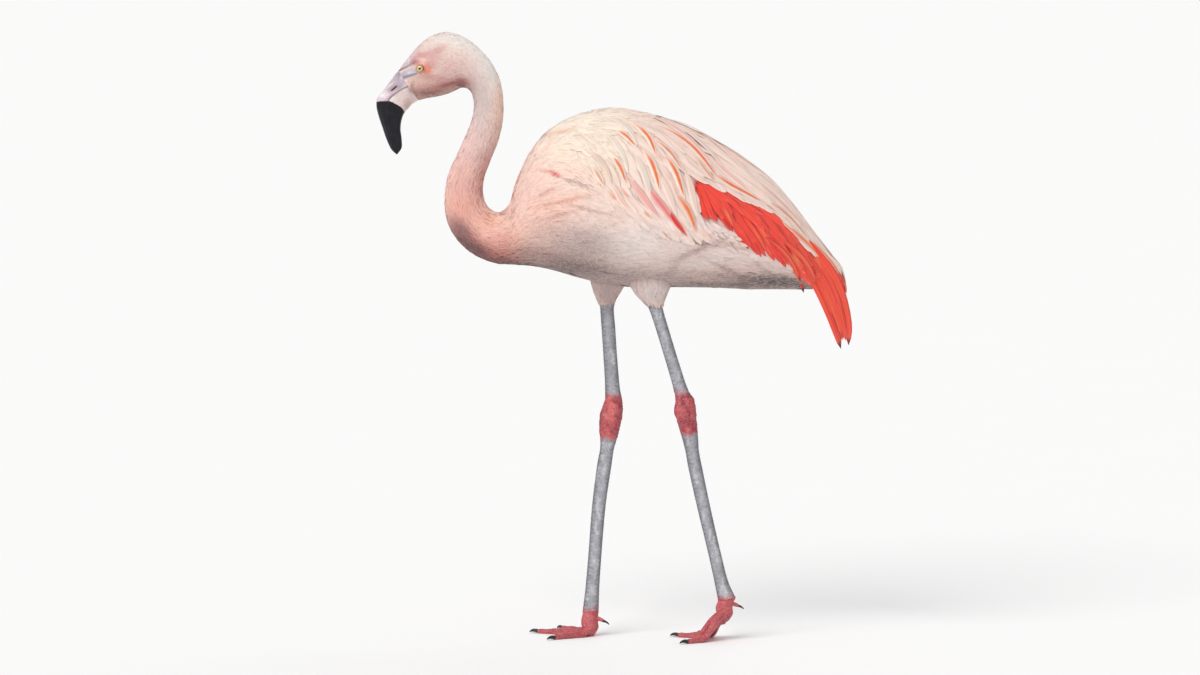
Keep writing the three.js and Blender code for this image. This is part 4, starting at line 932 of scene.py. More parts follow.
def strands(table, seed, h=(-1.6, 2.75), steps=14, own=(0.65, 0.15)):
    """Single long feathers laid along given courses, the same on both sides: (course, half width, colour, streak, streak colour, dark tip)."""
    rs = np.random.default_rng(seed)
    P, N, half, col, streak, sc, dark, uv = [], [], [], [], [], [], [], []
    us = np.linspace(0, 1, steps)
    for course, wide, colour, strength, scol, tip in table:
        c = cr(np.array(course, float), np.linspace(0, 1, 24))
        tp = on_side(c)
        tp = np.stack([np.convolve(np.pad(tp[:, k], 2, mode="edge"), np.ones(5) / 5, "valid") for k in (0, 1)], -1)
        tp = np.stack([np.interp(us, np.linspace(0, 1, 24), tp[:, k]) for k in (0, 1)], -1)
        for side in (0, 1):
            phi = tp[:, 1] if side == 0 else np.pi - tp[:, 1]
            P.append(bird(tp[:, 0], phi, h[0] + (h[1] - h[0]) * np.clip(us * 3, 0, 1) ** 0.7))
            N.append(bird.frame(tp[:, 0], phi)[3])
            half.append(wide), streak.append(strength), sc.append(lin(scol)), dark.append(tip), uv.append(unwrap(tp[:1, 0], phi[:1])[0])
            col.append(tint(P[-1]) if colour is None else tint(P[-1]) * np.interp(us, [0, 0.5], own)[:, None] + lin(colour) * (1 - np.interp(us, [0, 0.5], own))[:, None])
    P, N = np.array(P), np.array(N)
    tan = np.gradient(P, axis=1)
    tan /= np.linalg.norm(tan, axis=-1, keepdims=True)
    across = np.cross(N, tan)
    across /= np.linalg.norm(across, axis=-1, keepdims=True)
    up = np.cross(tan, across)
    n = len(P)
    extra = {"streak": np.array(streak), "reach": rs.uniform(-0.1, 0.05, n), "dark": np.array(dark), "c_streak": np.array(sc)}
    return P, across, up, np.array(half)[:, None] * blade(us)[None], us, np.array(uv), np.array(col), extra


# the grey streak colour is painted shade: the thin grey lines of shadow between the long wing feathers
OR, OB, PK, SCR, GREY_SHADE_STREAK = (238, 116, 60), (218, 126, 88), (238, 150, 146), (222, 46, 48), (176, 160, 154)
PALE, ROSE, CREAM = (252, 226, 214), (246, 184, 178), (255, 240, 226)
FINE = [  # course in side view, half width, colour (None: the coat's own), streak strength, streak colour, dark tip
    ([(603, 118), (618, 124), (630, 134), (638, 150)], 4.6, CREAM, 0.35, GREY_SHADE_STREAK, 0), ([(600, 134), (612, 142), (622, 156), (628, 174)], 4.6, CREAM, 0.25, GREY_SHADE_STREAK, 0), ([(586, 150), (598, 160), (607, 174), (612, 190)], 4.4, None, 0.2, OB, 0),
    ([(624, 120), (639, 130), (650, 143), (656, 162)], 6.2, CREAM, 1.0, OR, 0), ([(612, 130), (625, 138), (637, 151)], 5.4, CREAM, 0.95, OR, 0), ([(638, 146), (648, 160), (655, 176), (659, 197)], 6.6, CREAM, 1.0, OR, 0),
    ([(628, 150), (638, 164), (646, 182), (650, 202)], 5.6, CREAM, 0.25, GREY_SHADE_STREAK, 0), ([(646, 136), (660, 146), (672, 158), (683, 176)], 5.6, PALE, 0.85, OB, 0), ([(660, 152), (670, 166), (678, 182), (684, 204)], 6.6, CREAM, 1.0, OR, 0),
    ([(652, 168), (662, 184), (670, 202), (676, 220)], 5.6, CREAM, 0.3, PK, 0), ([(610, 156), (619, 168), (627, 188)], 5.6, CREAM, 0.95, OR, 0), ([(606, 180), (614, 190), (622, 204), (632, 214)], 4.6, None, 0.35, OB, 0), ([(590, 166), (598, 177), (605, 190)], 4.8, CREAM, 0.75, OB, 0),
    ([(624, 176), (636, 190), (648, 206), (660, 222)], 5.4, ROSE, 0.4, PK, 0), ([(640, 180), (652, 196), (666, 214), (680, 232)], 6.0, (246, 170, 166), 0.85, (230, 116, 118), 0), ([(662, 206), (672, 220), (687, 239)], 4.8, (226, 70, 66), 1.0, SCR, 0),
    ([(668, 188), (680, 202), (690, 218), (695, 236)], 6.2, (250, 206, 184), 0.95, OR, 0), ([(682, 168), (688, 184), (692, 202), (697, 220)], 5.6, CREAM, 0.3, OB, 0),
    ([(650, 122), (667, 132), (686, 144), (704, 163), (722, 189)], 6.4, PALE, 1.0, OR, 0), ([(638, 112), (658, 120), (680, 134), (698, 150), (714, 172)], 5.4, PALE, 0.6, PK, 0), ([(672, 126), (690, 136), (708, 152), (724, 172)], 4.8, PALE, 0.35, GREY_SHADE_STREAK, 0),
    ([(686, 150), (697, 163), (707, 176), (716, 186)], 4.8, PALE, 0.7, OB, 0), ([(706, 168), (720, 181), (741, 193), (769, 208)], 5.8, PALE, 1.0, OR, 0), ([(756, 198), (774, 207), (792, 222), (812, 247)], 5.2, PALE, 0.85, OB, 0),
    ([(690, 126), (712, 142), (738, 164), (764, 192)], 5.4, PALE, 0.4, PK, 0), ([(700, 150), (716, 166), (734, 182), (754, 198)], 5.0, PALE, 0.6, PK, 0), ([(664, 108), (690, 118), (716, 134), (742, 158)], 5.0, PALE, 0.35, GREY_SHADE_STREAK, 0),
    ([(712, 122), (738, 138), (766, 160), (792, 190)], 5.2, PALE, 0.3, PK, 0), ([(740, 172), (764, 190), (788, 212), (815, 241)], 5.2, PALE, 0.55, OB, 0), ([(728, 146), (752, 164), (778, 188), (804, 220)], 5.0, PALE, 0.3, GREY_SHADE_STREAK, 0),
    ([(780, 196), (802, 216), (822, 240), (838, 262)], 4.8, PALE, 0.5, OB, 0), ([(770, 214), (792, 232), (814, 252), (834, 272)], 4.8, (250, 186, 156), 0.9, OR, 0), ([(794, 226), (812, 244), (830, 262), (842, 282)], 4.4, (250, 196, 168), 0.85, OR, 0),
    ([(768, 170), (792, 192), (814, 220), (834, 250)], 4.8, PALE, 0.3, PK, 0),
]
hero = strands(FINE, 95)
FRONT_PLUME = [([(760, 236), (776, 247), (790, 262), (800, 283)], 3.6, (236, 62, 50), 0.5, (250, 140, 94), 0.10), ([(770, 234), (790, 248), (806, 264), (815, 282)], 4.2, (240, 74, 54), 0.5, (250, 140, 94), 0.0)]
piece_of("coat_wing", [g2], "plumage_wing", m_wing, columns=3, camber=0.12)
piece_of("coat_scapulars", [g3, g5], "plumage_wing", m_wing, columns=5, camber=0.16)
piece_of("coat_strands", [hero], "plumage_wing", m_wing, columns=7, camber=0.16)
piece_of("coat_red", [g4], "plumage_red", m_red, columns=5, camber=0.16)
piece_of("coat_front_plume", [strands(FRONT_PLUME, 97, h=(0.4, 3.3), own=(0.0, 0.0))], "plumage_red", m_red, columns=5, camber=0.16)
print("wing feathers", [len(g[5]) for g in (g2, g3, g5, g4)])


# ------------------------------------------------------------------------------------------------ loose feathers
def path_feathers(P, half, normal, steps, shape=lance, roll=None, seed=0):
    """Feathers along given paths P (N x K x 3), each broad across the direction that is square to its path and the normal."""
    us = np.asarray(steps, float)
    pts = np.stack([cr(P[i], us) for i in range(len(P))])
    tan = np.gradient(pts, axis=1)
    tan /= np.linalg.norm(tan, axis=-1, keepdims=True) + 1e-9
    nrm = np.broadcast_to(np.asarray(normal, float)[:, None] if np.ndim(normal) == 2 else np.asarray(normal, float), pts.shape)
    across = np.cross(nrm, tan)
    across /= np.linalg.norm(across, axis=-1, keepdims=True) + 1e-9
    up = np.cross(tan, across)
    if roll is not None:
        r = np.radians(roll)[:, None, None]
        across, up = across * np.cos(r) + up * np.sin(r), up * np.cos(r) - across * np.sin(r)
    return pts, across, up, np.asarray(half)[:, None] * shape(us)[None], us


# the bunch of long red feathers that droops over the tail: rear edge and front edge of the bunch in side view
REAR = np.array([(258, 632), (304, 586), (332.5, 548), (346.5, 510), (354.5, 468), (353, 441.5)])
FRONT = np.array([(224, 616), (263, 582), (295, 545), (317, 502), (332, 463), (340.5, 436.5)])
rs = np.random.default_rng(90)
paths, halfs, rolls, normals, darks, reds = [], [], [], [], [], []
for side in (1, -1):
    for i in range(17):
        q = i / 16
        spread = 0.08 if q < 0.5 else 0.92  # the tips gather in two points
        long = [0.985, 0.97, 0.975, 0.91, 0.93, 0.88, 0.92, 0.86, 0.90, 0.86, 0.91, 0.87, 0.93, 0.91, 0.985, 0.99, 1.0][i] * rs.uniform(0.993, 1.0)
        k = np.linspace(0, 1, 6)
        qq = q + (spread - q) * k**7 * (0.9 if long > 0.94 else 0.1)
        xz = (REAR * (1 - qq)[:, None] + FRONT * qq[:, None])
        dense = cr(xz, np.linspace(0, long, 6))
        lay = rs.uniform(-1, 1)
        y = np.interp(np.linspace(0, long, 6), [0, 0.4, 0.75, 1], [36 - 6 * q, 28 - 3 * q, 13 + 3 * lay, 7.5 + 3.0 * lay]) * side
        paths.append(np.stack([dense[:, 0] - MID, y, dense[:, 1]], -1))
        halfs.append(rs.uniform(4.4, 5.6)), rolls.append(rs.normal(0, 14))
        normals.append((0.25, side, 0.25))
        darks.append(0.07 if long > 0.94 else 0.0)
        reds.append(rs.uniform(0, 1))
    # the narrow dark-tipped feather in front of the bunch, and two that stand clear above it
    for a, h, d in (([(226, 622), (250, 598), (270, 566), (280, 540), (284.5, 523)], 3.4, 0.12), ([(236, 640), (268, 600), (294, 566), (308, 545), (314, 527)], 4.6, 0.0), ([(246, 648), (282, 606), (312, 566), (322, 540), (329, 512)], 4.6, 0.06)):
        a = cr(np.array(a, float), np.linspace(0, 1, 6))
        y = np.linspace(37, 21, 6) * side
        paths.append(np.stack([a[:, 0] - MID, y, a[:, 1]], -1))
        halfs.append(h), rolls.append(rs.normal(0, 6)), normals.append((0.25, side, 0.25)), darks.append(d), reds.append(rs.uniform(0, 1))
paths, halfs, darks, reds = np.array(paths), np.array(halfs), np.array(darks), np.array(reds)
f = path_feathers(paths, halfs, np.array(normals), np.linspace(0, 1, 14), shape=lambda u: np.interp(u, [0, 0.1, 0.3, 0.6, 0.8, 0.92, 0.97, 1], [0.4, 0.72, 1.0, 0.96, 0.8, 0.62, 0.42, 0.05]), roll=np.array(rolls))
n = len(paths)
red = lin((250, 84, 56)) * (1 - reds[:, None]) + lin((236, 54, 46)) * reds[:, None]
red = np.broadcast_to(red[:, None], (n, 14, 3))
extra = {"streak": rs.uniform(0.2, 0.8, n), "reach": rs.uniform(0, 0.2, n), "dark": darks, "c_streak": np.where(rs.uniform(0, 1, (n, 1)) < 0.7, lin((250, 138, 92)), lin((176, 34, 32)))}
plume_uv = np.stack([0.915 + 0.07 * (np.arange(n) % 5) / 5, 0.03 + 0.02 * (np.arange(n) // 5)], -1)
plumes = (*f, plume_uv, red, extra)
piece_of("coat_plumes", [plumes], "plumage_red", m_red, columns=5, camber=0.3, nodes=("plumes_right", "plumes_left"))

# the pale lobe of the flank and the soft coverts under the tail
LOBE = [(676, 262), (700, 246), (726, 246), (758, 258), (774, 265), (783, 275), (781, 290), (700, 288), (672, 284)]
T, phi = roots(bird, 38.4, 43.3, 8.5, 4.6, 101)
p = bird(T, phi)
keep = inside(p, LOBE)
T, phi = T[keep], phi[keep]
lobe = coat("", bird, T, phi, 36, 3.9, -2.4, 0.9, 102, [0, 0.3, 0.62, 0.82, 0.93, 1], "", None, unwrap(T, phi), flow=flow_trunk, turn=6, shape=plump, tilt=5)
TUFT = [(694, 222), (706, 222), (722, 230), (732, 240), (738, 250), (720, 246), (700, 240)]
T, phi = roots(bird, 37.5, 41.5, 7.0, 3.6, 111)
p = bird(T, phi)
keep = inside(p, TUFT)
T, phi = T[keep], phi[keep]
tuft = coat("", bird, T, phi, 21, 2.7, -2.2, 2.5, 112, [0, 0.3, 0.6, 0.85, 1], "", None, unwrap(T, phi), flow=lambda p, dt, nn: np.broadcast_to(np.array([1.0, 0, -0.62]), p.shape), turn=7, shape=plump)
piece_of("coat_lobe", [lobe, tuft], "plumage_pale", m_vane, columns=3, camber=0.12)

# ------------------------------------------------------------------------------------------------ the bill
GAPE = ([0, 1, 2, 3, 4, 5, 6, 7, 8, 9, 10], [0.62, 0.697, 0.713, 0.719, 0.698, 0.668, 0.663, 0.668, 0.598, 0.499, 0.45])


def bill_half(upper):
    Tb = np.concatenate([np.linspace(0.0, 1.0, 40)[:-1] ** 1.3, np.linspace(1.0, 9.36, 330)])
    t = Tb / (len(CHAIN) - 1)
    k = cr(bird.f, t)[:, 1]
    g = np.interp(Tb, *GAPE) + (-0.004 if upper else 0.004)
    b = np.where(g > k, (g - k) / (1 - k), (g - k) / k)
    phi0 = np.arcsin(np.clip(b, -0.98, 0.98))
    n, m = 72, 12
    s = np.linspace(0, 1, n)
    if upper:
        phi = phi0[:, None] + (np.pi - 2 * phi0)[:, None] * s
    else:
        phi = (np.pi - phi0)[:, None] + (np.pi + 2 * phi0)[:, None] * s
    TT = np.broadcast_to(Tb[:, None], phi.shape)
    h = -1.6 * np.clip((TT - 8.75) / 0.5, 0, 1) ** 2
    P = bird(TT, phi, h)
    # the nostril: a long slit in a shallow hollow on each side, low on the upper half
    x, y = (P[..., 0] + MID) / 1.5 + 613.0, 640.0 - P[..., 2] / 1.5
    u, v = (x - 395.2) * 0.77 - (y - 88.0) * 0.64, (x - 395.2) * 0.64 + (y - 88.0) * 0.77
    slit = np.exp(-((u / 4.6) ** 4 + (v / 0.85) ** 2)) if upper else 0 * u
    dish = np.exp(-((u / 5.5) ** 2 + (v / 2.2) ** 2)) if upper else 0 * u
    # long grooves beside the culmen, and the plates' fine teeth along the gape
    share = np.abs(np.sin(phi))
    groove = np.exp(-(((share - 0.78) / 0.06) ** 2)) * np.clip((TT - 1.2) / 2, 0, 1) * np.clip((9 - TT) / 2, 0, 1) * (0.45 if upper else 0.0)
    edge = np.minimum(s, 1 - s)[None] * np.ones_like(TT)
    lip = -0.55 * np.exp(-((edge / 0.022) ** 2)) + 0.25 * np.exp(-(((edge - 0.06) / 0.03) ** 2)) * np.clip((8.5 - TT) / 1.0, 0, 1)
    teeth = 0.05 * np.sin(TT * 42) * np.exp(-((edge / 0.025) ** 2)) * np.clip((8.2 - TT), 0, 1) if not upper else 0
    grow = np.where(TT < 0.6, TT / 0.6, 1.0)
    P = bird(TT, phi, h + (-1.9 * slit - 0.5 * dish - groove + lip + teeth) * grow)
    back = np.linspace(0, 1, m + 2)[1:-1]
    inner = P[:, -1:] * (1 - back)[None, :, None] + P[:, :1] * back[None, :, None]
    ring = np.concatenate([P, inner], 1)
    black = (y - np.interp(x, [372, 381, 391, 397, 403, 406, 412], [103.5, 101.0, 100.4, 103.2, 107.0, 112.0, 124.0]))
    black = np.concatenate([black, np.repeat(black[:, -1:], m, 1)], 1)
    dent = np.concatenate([slit, np.zeros((len(Tb), m))], 1)
    # the gape's edges and inner faces, which the material paints near black as shade
    inside_mouth = np.concatenate([np.clip(1.2 - edge / 0.016, 0, 1) * 0.85, np.ones((len(Tb), m))], 1)
    N = n + m
    caps0 = [ring[0].mean(0) + (ring[0] - ring[0].mean(0)) * q for q in (0.01, 0.5)]
    caps1 = [ring[-1].mean(0) + (ring[-1] - ring[-1].mean(0)) * q for q in (0.6, 0.01)]
    V = np.concatenate([np.stack(caps0), ring, np.stack(caps1)])
    pad = lambda a: np.concatenate([a[:1], a[:1], a, a[-1:], a[-1:]])
    black, dent, inside_mouth = pad(black), pad(dent), pad(inside_mouth)
    R = len(V)
    idx = np.arange(R * N).reshape(R, N)
    nxt = np.roll(idx, -1, axis=1)
    q = np.stack([idx[:-1], idx[1:], nxt[1:], nxt[:-1]], -1).reshape(-1, 4)
    return V.reshape(-1, 3), q, black.ravel(), dent.ravel(), inside_mouth.ravel()


def bill_material():
    m = Nodes("bill_horn")
    black, dent, mouth, tintc = m.attr("black"), m.attr("dent"), m.attr("mouth"), m.attr("c_tint", "Color")
    ragged = m.math("MULTIPLY", m.math("SUBTRACT", m.noise(260.0, 3.0), 0.5), 1.2)
    is_black = m.ramp(m.math("ADD", black, ragged), -0.35, 0.45)
    grain = m.noise(260.0, 5.0, 0.65)
    pale = m.mix(m.math("MULTIPLY", m.ramp(grain, 0.45, 0.75), 0.45), tintc, m.mix(1.0, tintc, (0.62, 0.54, 0.62), "MULTIPLY"))
    fine = m.noise(1500.0, 2.0)
    pale = m.mix(m.math("MULTIPLY", m.ramp(fine, 0.5, 0.8), 0.18), pale, (0.9, 0.82, 0.82))
    dark = m.mix(m.ramp(m.noise(90.0, 4.0), 0.35, 0.75), (0.0045, 0.0042, 0.0075), (0.012, 0.0115, 0.019))
    col = m.mix(is_black, pale, dark)
    # painted shade: the nostril's slit and the gape's inner faces are near black
    col = m.mix(m.ramp(dent, 0.25, 0.75), col, (0.02, 0.012, 0.014))
    col = m.mix(mouth, col, (0.022, 0.018, 0.021))
    m.link(col, m.b.inputs["Base Color"])
    rough = m.math("ADD", m.math("MULTIPLY", grain, 0.22), 0.26)
    m.link(rough, m.b.inputs["Roughness"])
    m.bump(m.math("ADD", grain, m.math("MULTIPLY", fine, 0.4)), 0.25, 0.0003)
    m.set(Specular_IOR_Level=0.28)
    return m.m


m_bill = bill_material()
for name, upper, node, slot in (("bill_top", True, "bill_upper", "bill_base"), ("bill_bottom", False, "bill_lower", "bill_black")):
    V, Q, black, dent, mouth = bill_half(upper)
    x, y = picture(V)
    if upper:
        c = np.broadcast_to(lin((214, 194, 202)), V.shape).copy()
        # the upper half's patches: grey and darker mottling round the nostril and the base, and pale painted highlights
        # by the nostril, above it and at the base of the black tip
        for cx, cy, rx, ry, turn, colour, strength in ((388.5, 92, 4.5, 3.0, -38, (138, 114, 124), 0.6), (396, 83, 5.5, 2.2, -40, (134, 112, 122), 0.55), (401.5, 88.5, 4, 1.6, -40, (142, 122, 132), 0.6), (392, 86.5, 7, 1.0, -40, (240, 232, 236), 0.7), (404, 77.5, 4, 2.0, -30, (226, 224, 234), 0.7), (399, 76, 6, 4, -40, (168, 160, 174), 0.8), (387, 94, 5, 4, 0, (240, 226, 230), 0.8), (405, 82, 9, 3.0, -30, (178, 166, 182), 0.8), (395, 90, 6.5, 2.8, -33, (150, 122, 134), 0.75), (401, 76, 2.0, 6, 10, (128, 120, 130), 0.6), (391, 99, 8, 1.6, -38, (160, 132, 142), 0.6), (383, 97, 4, 3, 0, (250, 244, 244), 0.8)):
            a = math.radians(turn)
            u, v = (x - cx) * math.cos(a) + (y - cy) * math.sin(a), -(x - cx) * math.sin(a) + (y - cy) * math.cos(a)
            w = (strength * np.exp(-((u / rx) ** 2 + (v / ry) ** 2)))[:, None]
            c = c * (1 - w) + lin(colour) * w
    else:
        c = np.broadcast_to(lin((226, 206, 202)), V.shape).copy()
        for cx, cy, rx, ry, turn, colour, strength in ((413, 90, 3.4, 6, 0, (128, 104, 112), 0.85), (409, 106, 4, 7, 15, (196, 164, 160), 0.8), (392, 99, 4, 3, 30, (250, 240, 236), 0.8), (402, 92, 9, 1.6, -42, (190, 166, 166), 0.6)):
            a = math.radians(turn)
            u, v = (x - cx) * math.cos(a) + (y - cy) * math.sin(a), -(x - cx) * math.sin(a) + (y - cy) * math.cos(a)
            w = (strength * np.exp(-((u / rx) ** 2 + (v / ry) ** 2)))[:, None]
            c = c * (1 - w) + lin(colour) * w
    ob = mesh(name, V, Q, None, {"black": black, "dent": dent, "mouth": mouth, "c_tint": c}, m_bill)
    finish_piece(ob, slot, node)


# ------------------------------------------------------------------------------------------------ the eyes
def eye_material():
    m = Nodes("eye_ball")
    r = m.attr("off_axis")  # mm from the eye's own axis
    fibres = m.node("ShaderNodeTexNoise")
    fibres.inputs["Scale"].default_value, fibres.inputs["Detail"].default_value = 1400.0, 3.0
    m.link(m.coord(), fibres.inputs["Vector"])
    iris = m.mix(fibres.outputs[0], lin((206, 186, 92)), lin((232, 220, 150)))
    iris = m.mix(m.ramp(r, 2.2, 3.4), m.mix(1.0, iris, (0.80, 0.62, 0.42), "MULTIPLY"), iris)
    iris = m.mix(m.ramp(r, 4.0, 4.9), iris, (0.13, 0.07, 0.05))
    col = m.mix(m.ramp(r, 1.55, 1.8), (0.010, 0.009, 0.008), iris)
    m.link(col, m.b.inputs["Base Color"])
    m.set(Roughness=0.06, Specular_IOR_Level=0.55, Coat_Weight=0.6, Coat_Roughness=0.03)
    return m.m


m_eye = eye_material()
for side, name in ((1, "right"), (-1, "left")):
    th, ph = np.meshgrid(np.linspace(0, np.pi, 49), np.linspace(0, 2 * np.pi, 65)[:-1], indexing="ij")
    axis = np.array([-0.16, side * 0.985, 0.03])
    axis /= np.linalg.norm(axis)
    e1 = np.cross(axis, (0, 0, 1.0))
    e1 /= np.linalg.norm(e1)
    e2 = np.cross(axis, e1)
    bulge = 1 + 0.035 * np.exp(-((th / 0.55) ** 2))
    V = (np.cos(th)[..., None] * axis + np.sin(th)[..., None] * (np.cos(ph)[..., None] * e1 + np.sin(ph)[..., None] * e2)) * (EYE_R * bulge)[..., None] + EYE * np.array([1, side, 1])
    R, N = th.shape
    V[0], V[-1] = V[0].mean(0) + (V[0] - V[0].mean(0)) * 0 + (V[1] - V[1].mean(0)) * 0.001, V[-1].mean(0) + (V[-2] - V[-2].mean(0)) * 0.001
    idx = np.arange(R * N).reshape(R, N)
    nxt = np.roll(idx, -1, 1)
    Q = np.stack([idx[:-1], idx[1:], nxt[1:], nxt[:-1]], -1).reshape(-1, 4)
    ob = mesh("eyeball_" + name, V.reshape(-1, 3), Q, None, {"off_axis": (np.sin(th) * EYE_R + np.where(th > 1.6, 9.0, 0)).ravel()}, m_eye)
    finish_piece(ob, "eye", "eye_" + name)


# ------------------------------------------------------------------------------------------------ legs and feet
def leg_material(name):
    m = Nodes(name)
    base = m.attr("c_tint", "Color")
    v = m.node("ShaderNodeTexVoronoi", feature="DISTANCE_TO_EDGE")
    v.inputs["Scale"].default_value = 360.0
    m.link(m.coord(), v.inputs["Vector"])
    cell = m.node("ShaderNodeTexVoronoi", feature="F1")
    cell.inputs["Scale"].default_value = 360.0
    m.link(m.coord(), cell.inputs["Vector"])
    seam = m.ramp(v.outputs["Distance"], 0.10, 0.0)
    net = m.math("MULTIPLY", seam, m.attr("net"))
    tone = m.math("ADD", m.math("MULTIPLY", m.noise(170.0, 4.0), 0.5), 0.75)
    col = m.mix(1.0, base, tone, "MULTIPLY")
    one = m.node("ShaderNodeSeparateColor")
    m.link(cell.outputs["Color"], one.inputs[0])
    col = m.mix(m.math("MULTIPLY", one.outputs[0], 0.25), col, m.mix(0.5, base, (0.9, 0.85, 0.85)))
    col = m.mix(m.math("MULTIPLY", net, 0.55), col, m.mix(1.0, base, (0.42, 0.34, 0.36), "MULTIPLY"))
    col = m.mix(m.math("MULTIPLY", m.attr("groove"), 0.6), col, m.mix(1.0, base, (0.40, 0.32, 0.34), "MULTIPLY"))
    m.link(col, m.b.inputs["Base Color"])
    m.bump(m.math("SUBTRACT", m.math("MULTIPLY", m.noise(500.0, 3.0), 0.3), net), 0.6, 0.0005)
    m.set(Roughness=0.5, Specular_IOR_Level=0.4)
    return m.m


m_leg = leg_material("leg_scutes")
GREY, GREY_EDGE_SHADE, CORAL, CORAL_HIGHLIGHT = lin((197, 199, 207)), lin((84, 86, 97)), lin((176, 52, 66)), lin((226, 108, 104))


def vnoise(P, scale, seed=0):
    """Smooth value noise, the same on every run."""
    q = P * scale + seed * 17.31
    i = np.floor(q).astype(np.int64)
    f = q - i
    f = f * f * (3 - 2 * f)

    def at(dx, dy, dz):
        n = (i[..., 0] + dx) * 374761393 + (i[..., 1] + dy) * 668265263 + (i[..., 2] + dz) * 2147483647 + seed * 1274126177
        n = (n ^ (n >> 13)) * 1274126177
        return ((n ^ (n >> 16)) & 0xFFFF) / 65535.0
    out = 0
    for dx in (0, 1):
        for dy in (0, 1):
            for dz in (0, 1):
                w = (f[..., 0] if dx else 1 - f[..., 0]) * (f[..., 1] if dy else 1 - f[..., 1]) * (f[..., 2] if dz else 1 - f[..., 2])
                out = out + w * at(dx, dy, dz)
    return out


def leg_piece(spec, name):
    limb = Limb(spec["leg"], spec["side"])
    fine = np.linspace(0.15, limb.n - 1, 3000)
    mid = (limb(fine, 0.0) + limb(fine, np.pi)) / 2
    s = np.concatenate([[0], np.cumsum(np.linalg.norm(np.diff(mid, axis=0), axis=1))])
    Tl = np.interp(np.arange(0, s[-1], 1.05), s, fine)
    s_of = lambda T: np.interp(T, fine, s)
    lo, hi = spec["ankle"][1], spec["ankle"][0]

    def pattern(T, phi):
        p = limb(T, phi)
        z = p[..., 2]
        d = s_of(T)
        ankle = np.clip((z - lo + 6) / 14, 0, 1) * np.clip((hi + 6 - z) / 14, 0, 1)
        front = np.clip((np.sin(phi) - 0.25) / 0.25, 0, 1)  # the front face
        rear = np.clip((-np.sin(phi) - 0.35) / 0.25, 0, 1)
        pitch = 6.4
        wave = d / pitch + 0.13 * np.cos(phi * 2) + 0.10 * vnoise(p, 0.05, 3)
        ring = np.exp(-(((wave % 1.0) - 0.5) / 0.11) ** 2)
        groove = ring * np.maximum(front, rear * 0.8) * (1 - ankle)
        # the ankle's knobs and folds
        knob = (vnoise(p, 0.16, 5) - 0.5) * 1.5 + (vnoise(p, 0.36, 6) - 0.5) * 0.8
        folds = -0.5 * np.exp(-(((d / 5.0) % 1.0 - 0.5) / 0.16) ** 2) * rear
        side = -0.25 * np.exp(-((np.sin(phi) / 0.16) ** 2)) * (1 - ankle)  # the long furrow on each side
        return groove, ankle, -0.42 * groove + side + ankle * (knob + folds) + (vnoise(p, 0.5, 9) - 0.5) * 0.18

    V, Q, TT, PP, rq, cq = loft_mesh(limb, Tl, 44, lambda T, p: pattern(T, p)[2])
    TT, PP = TT[:, :-1], PP[:, :-1]
    groove, ankle, _ = pattern(TT, PP)
    z = V[:, 2].reshape(TT.shape)
    foot = np.clip(((52 if spec["side"] > 0 else 78) - z) / 22, 0, 1)
    rag = (vnoise(V.reshape(*TT.shape, 3), 0.12, 8) - 0.5) * 0.9
    red = np.clip(np.maximum(ankle, foot) * 1.6 - 0.3 + rag * (np.maximum(ankle, foot) > 0.02), 0, 1)
    blotch = vnoise(V.reshape(*TT.shape, 3), 0.09, 12)[..., None]
    # painted light: pale grey on the leg's sides and dark grey on its front and back edges, with a pale painted
    # highlight streak down the sides
    flank = (np.abs(np.cos(PP[:, :-1] if PP.shape[1] > TT.shape[1] else PP)) ** 1.5)[..., None] * (0.65 + 0.35 * vnoise(V.reshape(*TT.shape, 3), 0.22, 14)[..., None])
    grey = GREY * flank + GREY_EDGE_SHADE * (1 - flank)
    grey = grey * (1 - 0.25 * blotch)
    pale = np.clip((vnoise(V.reshape(*TT.shape, 3) * np.array([1, 1, 0.4]), 0.3, 17)[..., None] - 0.62) * 5, 0, 1) * flank
    grey = grey * (1 - 0.5 * pale) + lin((240, 240, 244)) * 0.5 * pale
    fleck = np.clip((vnoise(V.reshape(*TT.shape, 3), 0.13, 15)[..., None] - 0.55) * 4, 0, 1)
    # painted highlight: a brighter coral down the sides of the red parts
    coral_highlight = np.clip(flank * 1.3 - 0.25, 0, 1) * np.clip((vnoise(V.reshape(*TT.shape, 3), 0.10, 16)[..., None] - 0.3) * 3, 0, 1)
    coral = CORAL * (1 - coral_highlight) + CORAL_HIGHLIGHT * coral_highlight
    coral = coral * (1 - 0.6 * fleck) + lin((122, 26, 44)) * 0.6 * fleck
    c = grey * (1 - red[..., None]) + coral * red[..., None]
    ob = mesh("leg_" + name, V, Q, None, {"c_tint": c.reshape(-1, 3), "groove": groove.ravel(), "net": (1 - groove * 0.8).ravel()}, m_leg)
    finish_piece(ob, "leg_grey", f"shank_{name}", f"ankle_{name}", f"tarsus_{name}")


TOE_R, WEB_T, FLAT, SOLE = 7.2, 2.6, 0.86, 0.9
LENGTHS = (66, 86, 76)


def toe_radius(t):
    return TOE_R * (1 - 0.38 * t) * (1 + 0.07 * np.cos(t * np.pi * 6)) * np.where(t > 0.97, 0.9, 1)


def toe_path(spec, length, yaw):
    lift = spec["joint"][1]
    aside = -4.2 * math.copysign(1, yaw) if abs(yaw) > 25 else 0.3
    x0, y0, a = spec["joint"][0] + abs(aside) * 0.3, spec["side"] * FOOT_Y + aside, math.radians(yaw)
    down = 0.6 if lift > 20 else 0.16
    path = []
    for t in (-0.05, 0.08, 0.22, 0.36, 0.5, 0.66, 0.82, 1):
        s = min(1, max(0, t) / down)
        ease = s * s * (3 - 2 * s)
        reach = t * length * (1 - 0.1 * (min(1, s) if lift > 20 else 0))
        flat = float(toe_radius(np.array(max(0.0, t)))) * FLAT - SOLE
        path.append((x0 - math.cos(a) * reach - MID, y0 - math.sin(a) * reach, lift + (flat - lift) * ease))
    return np.array(path)


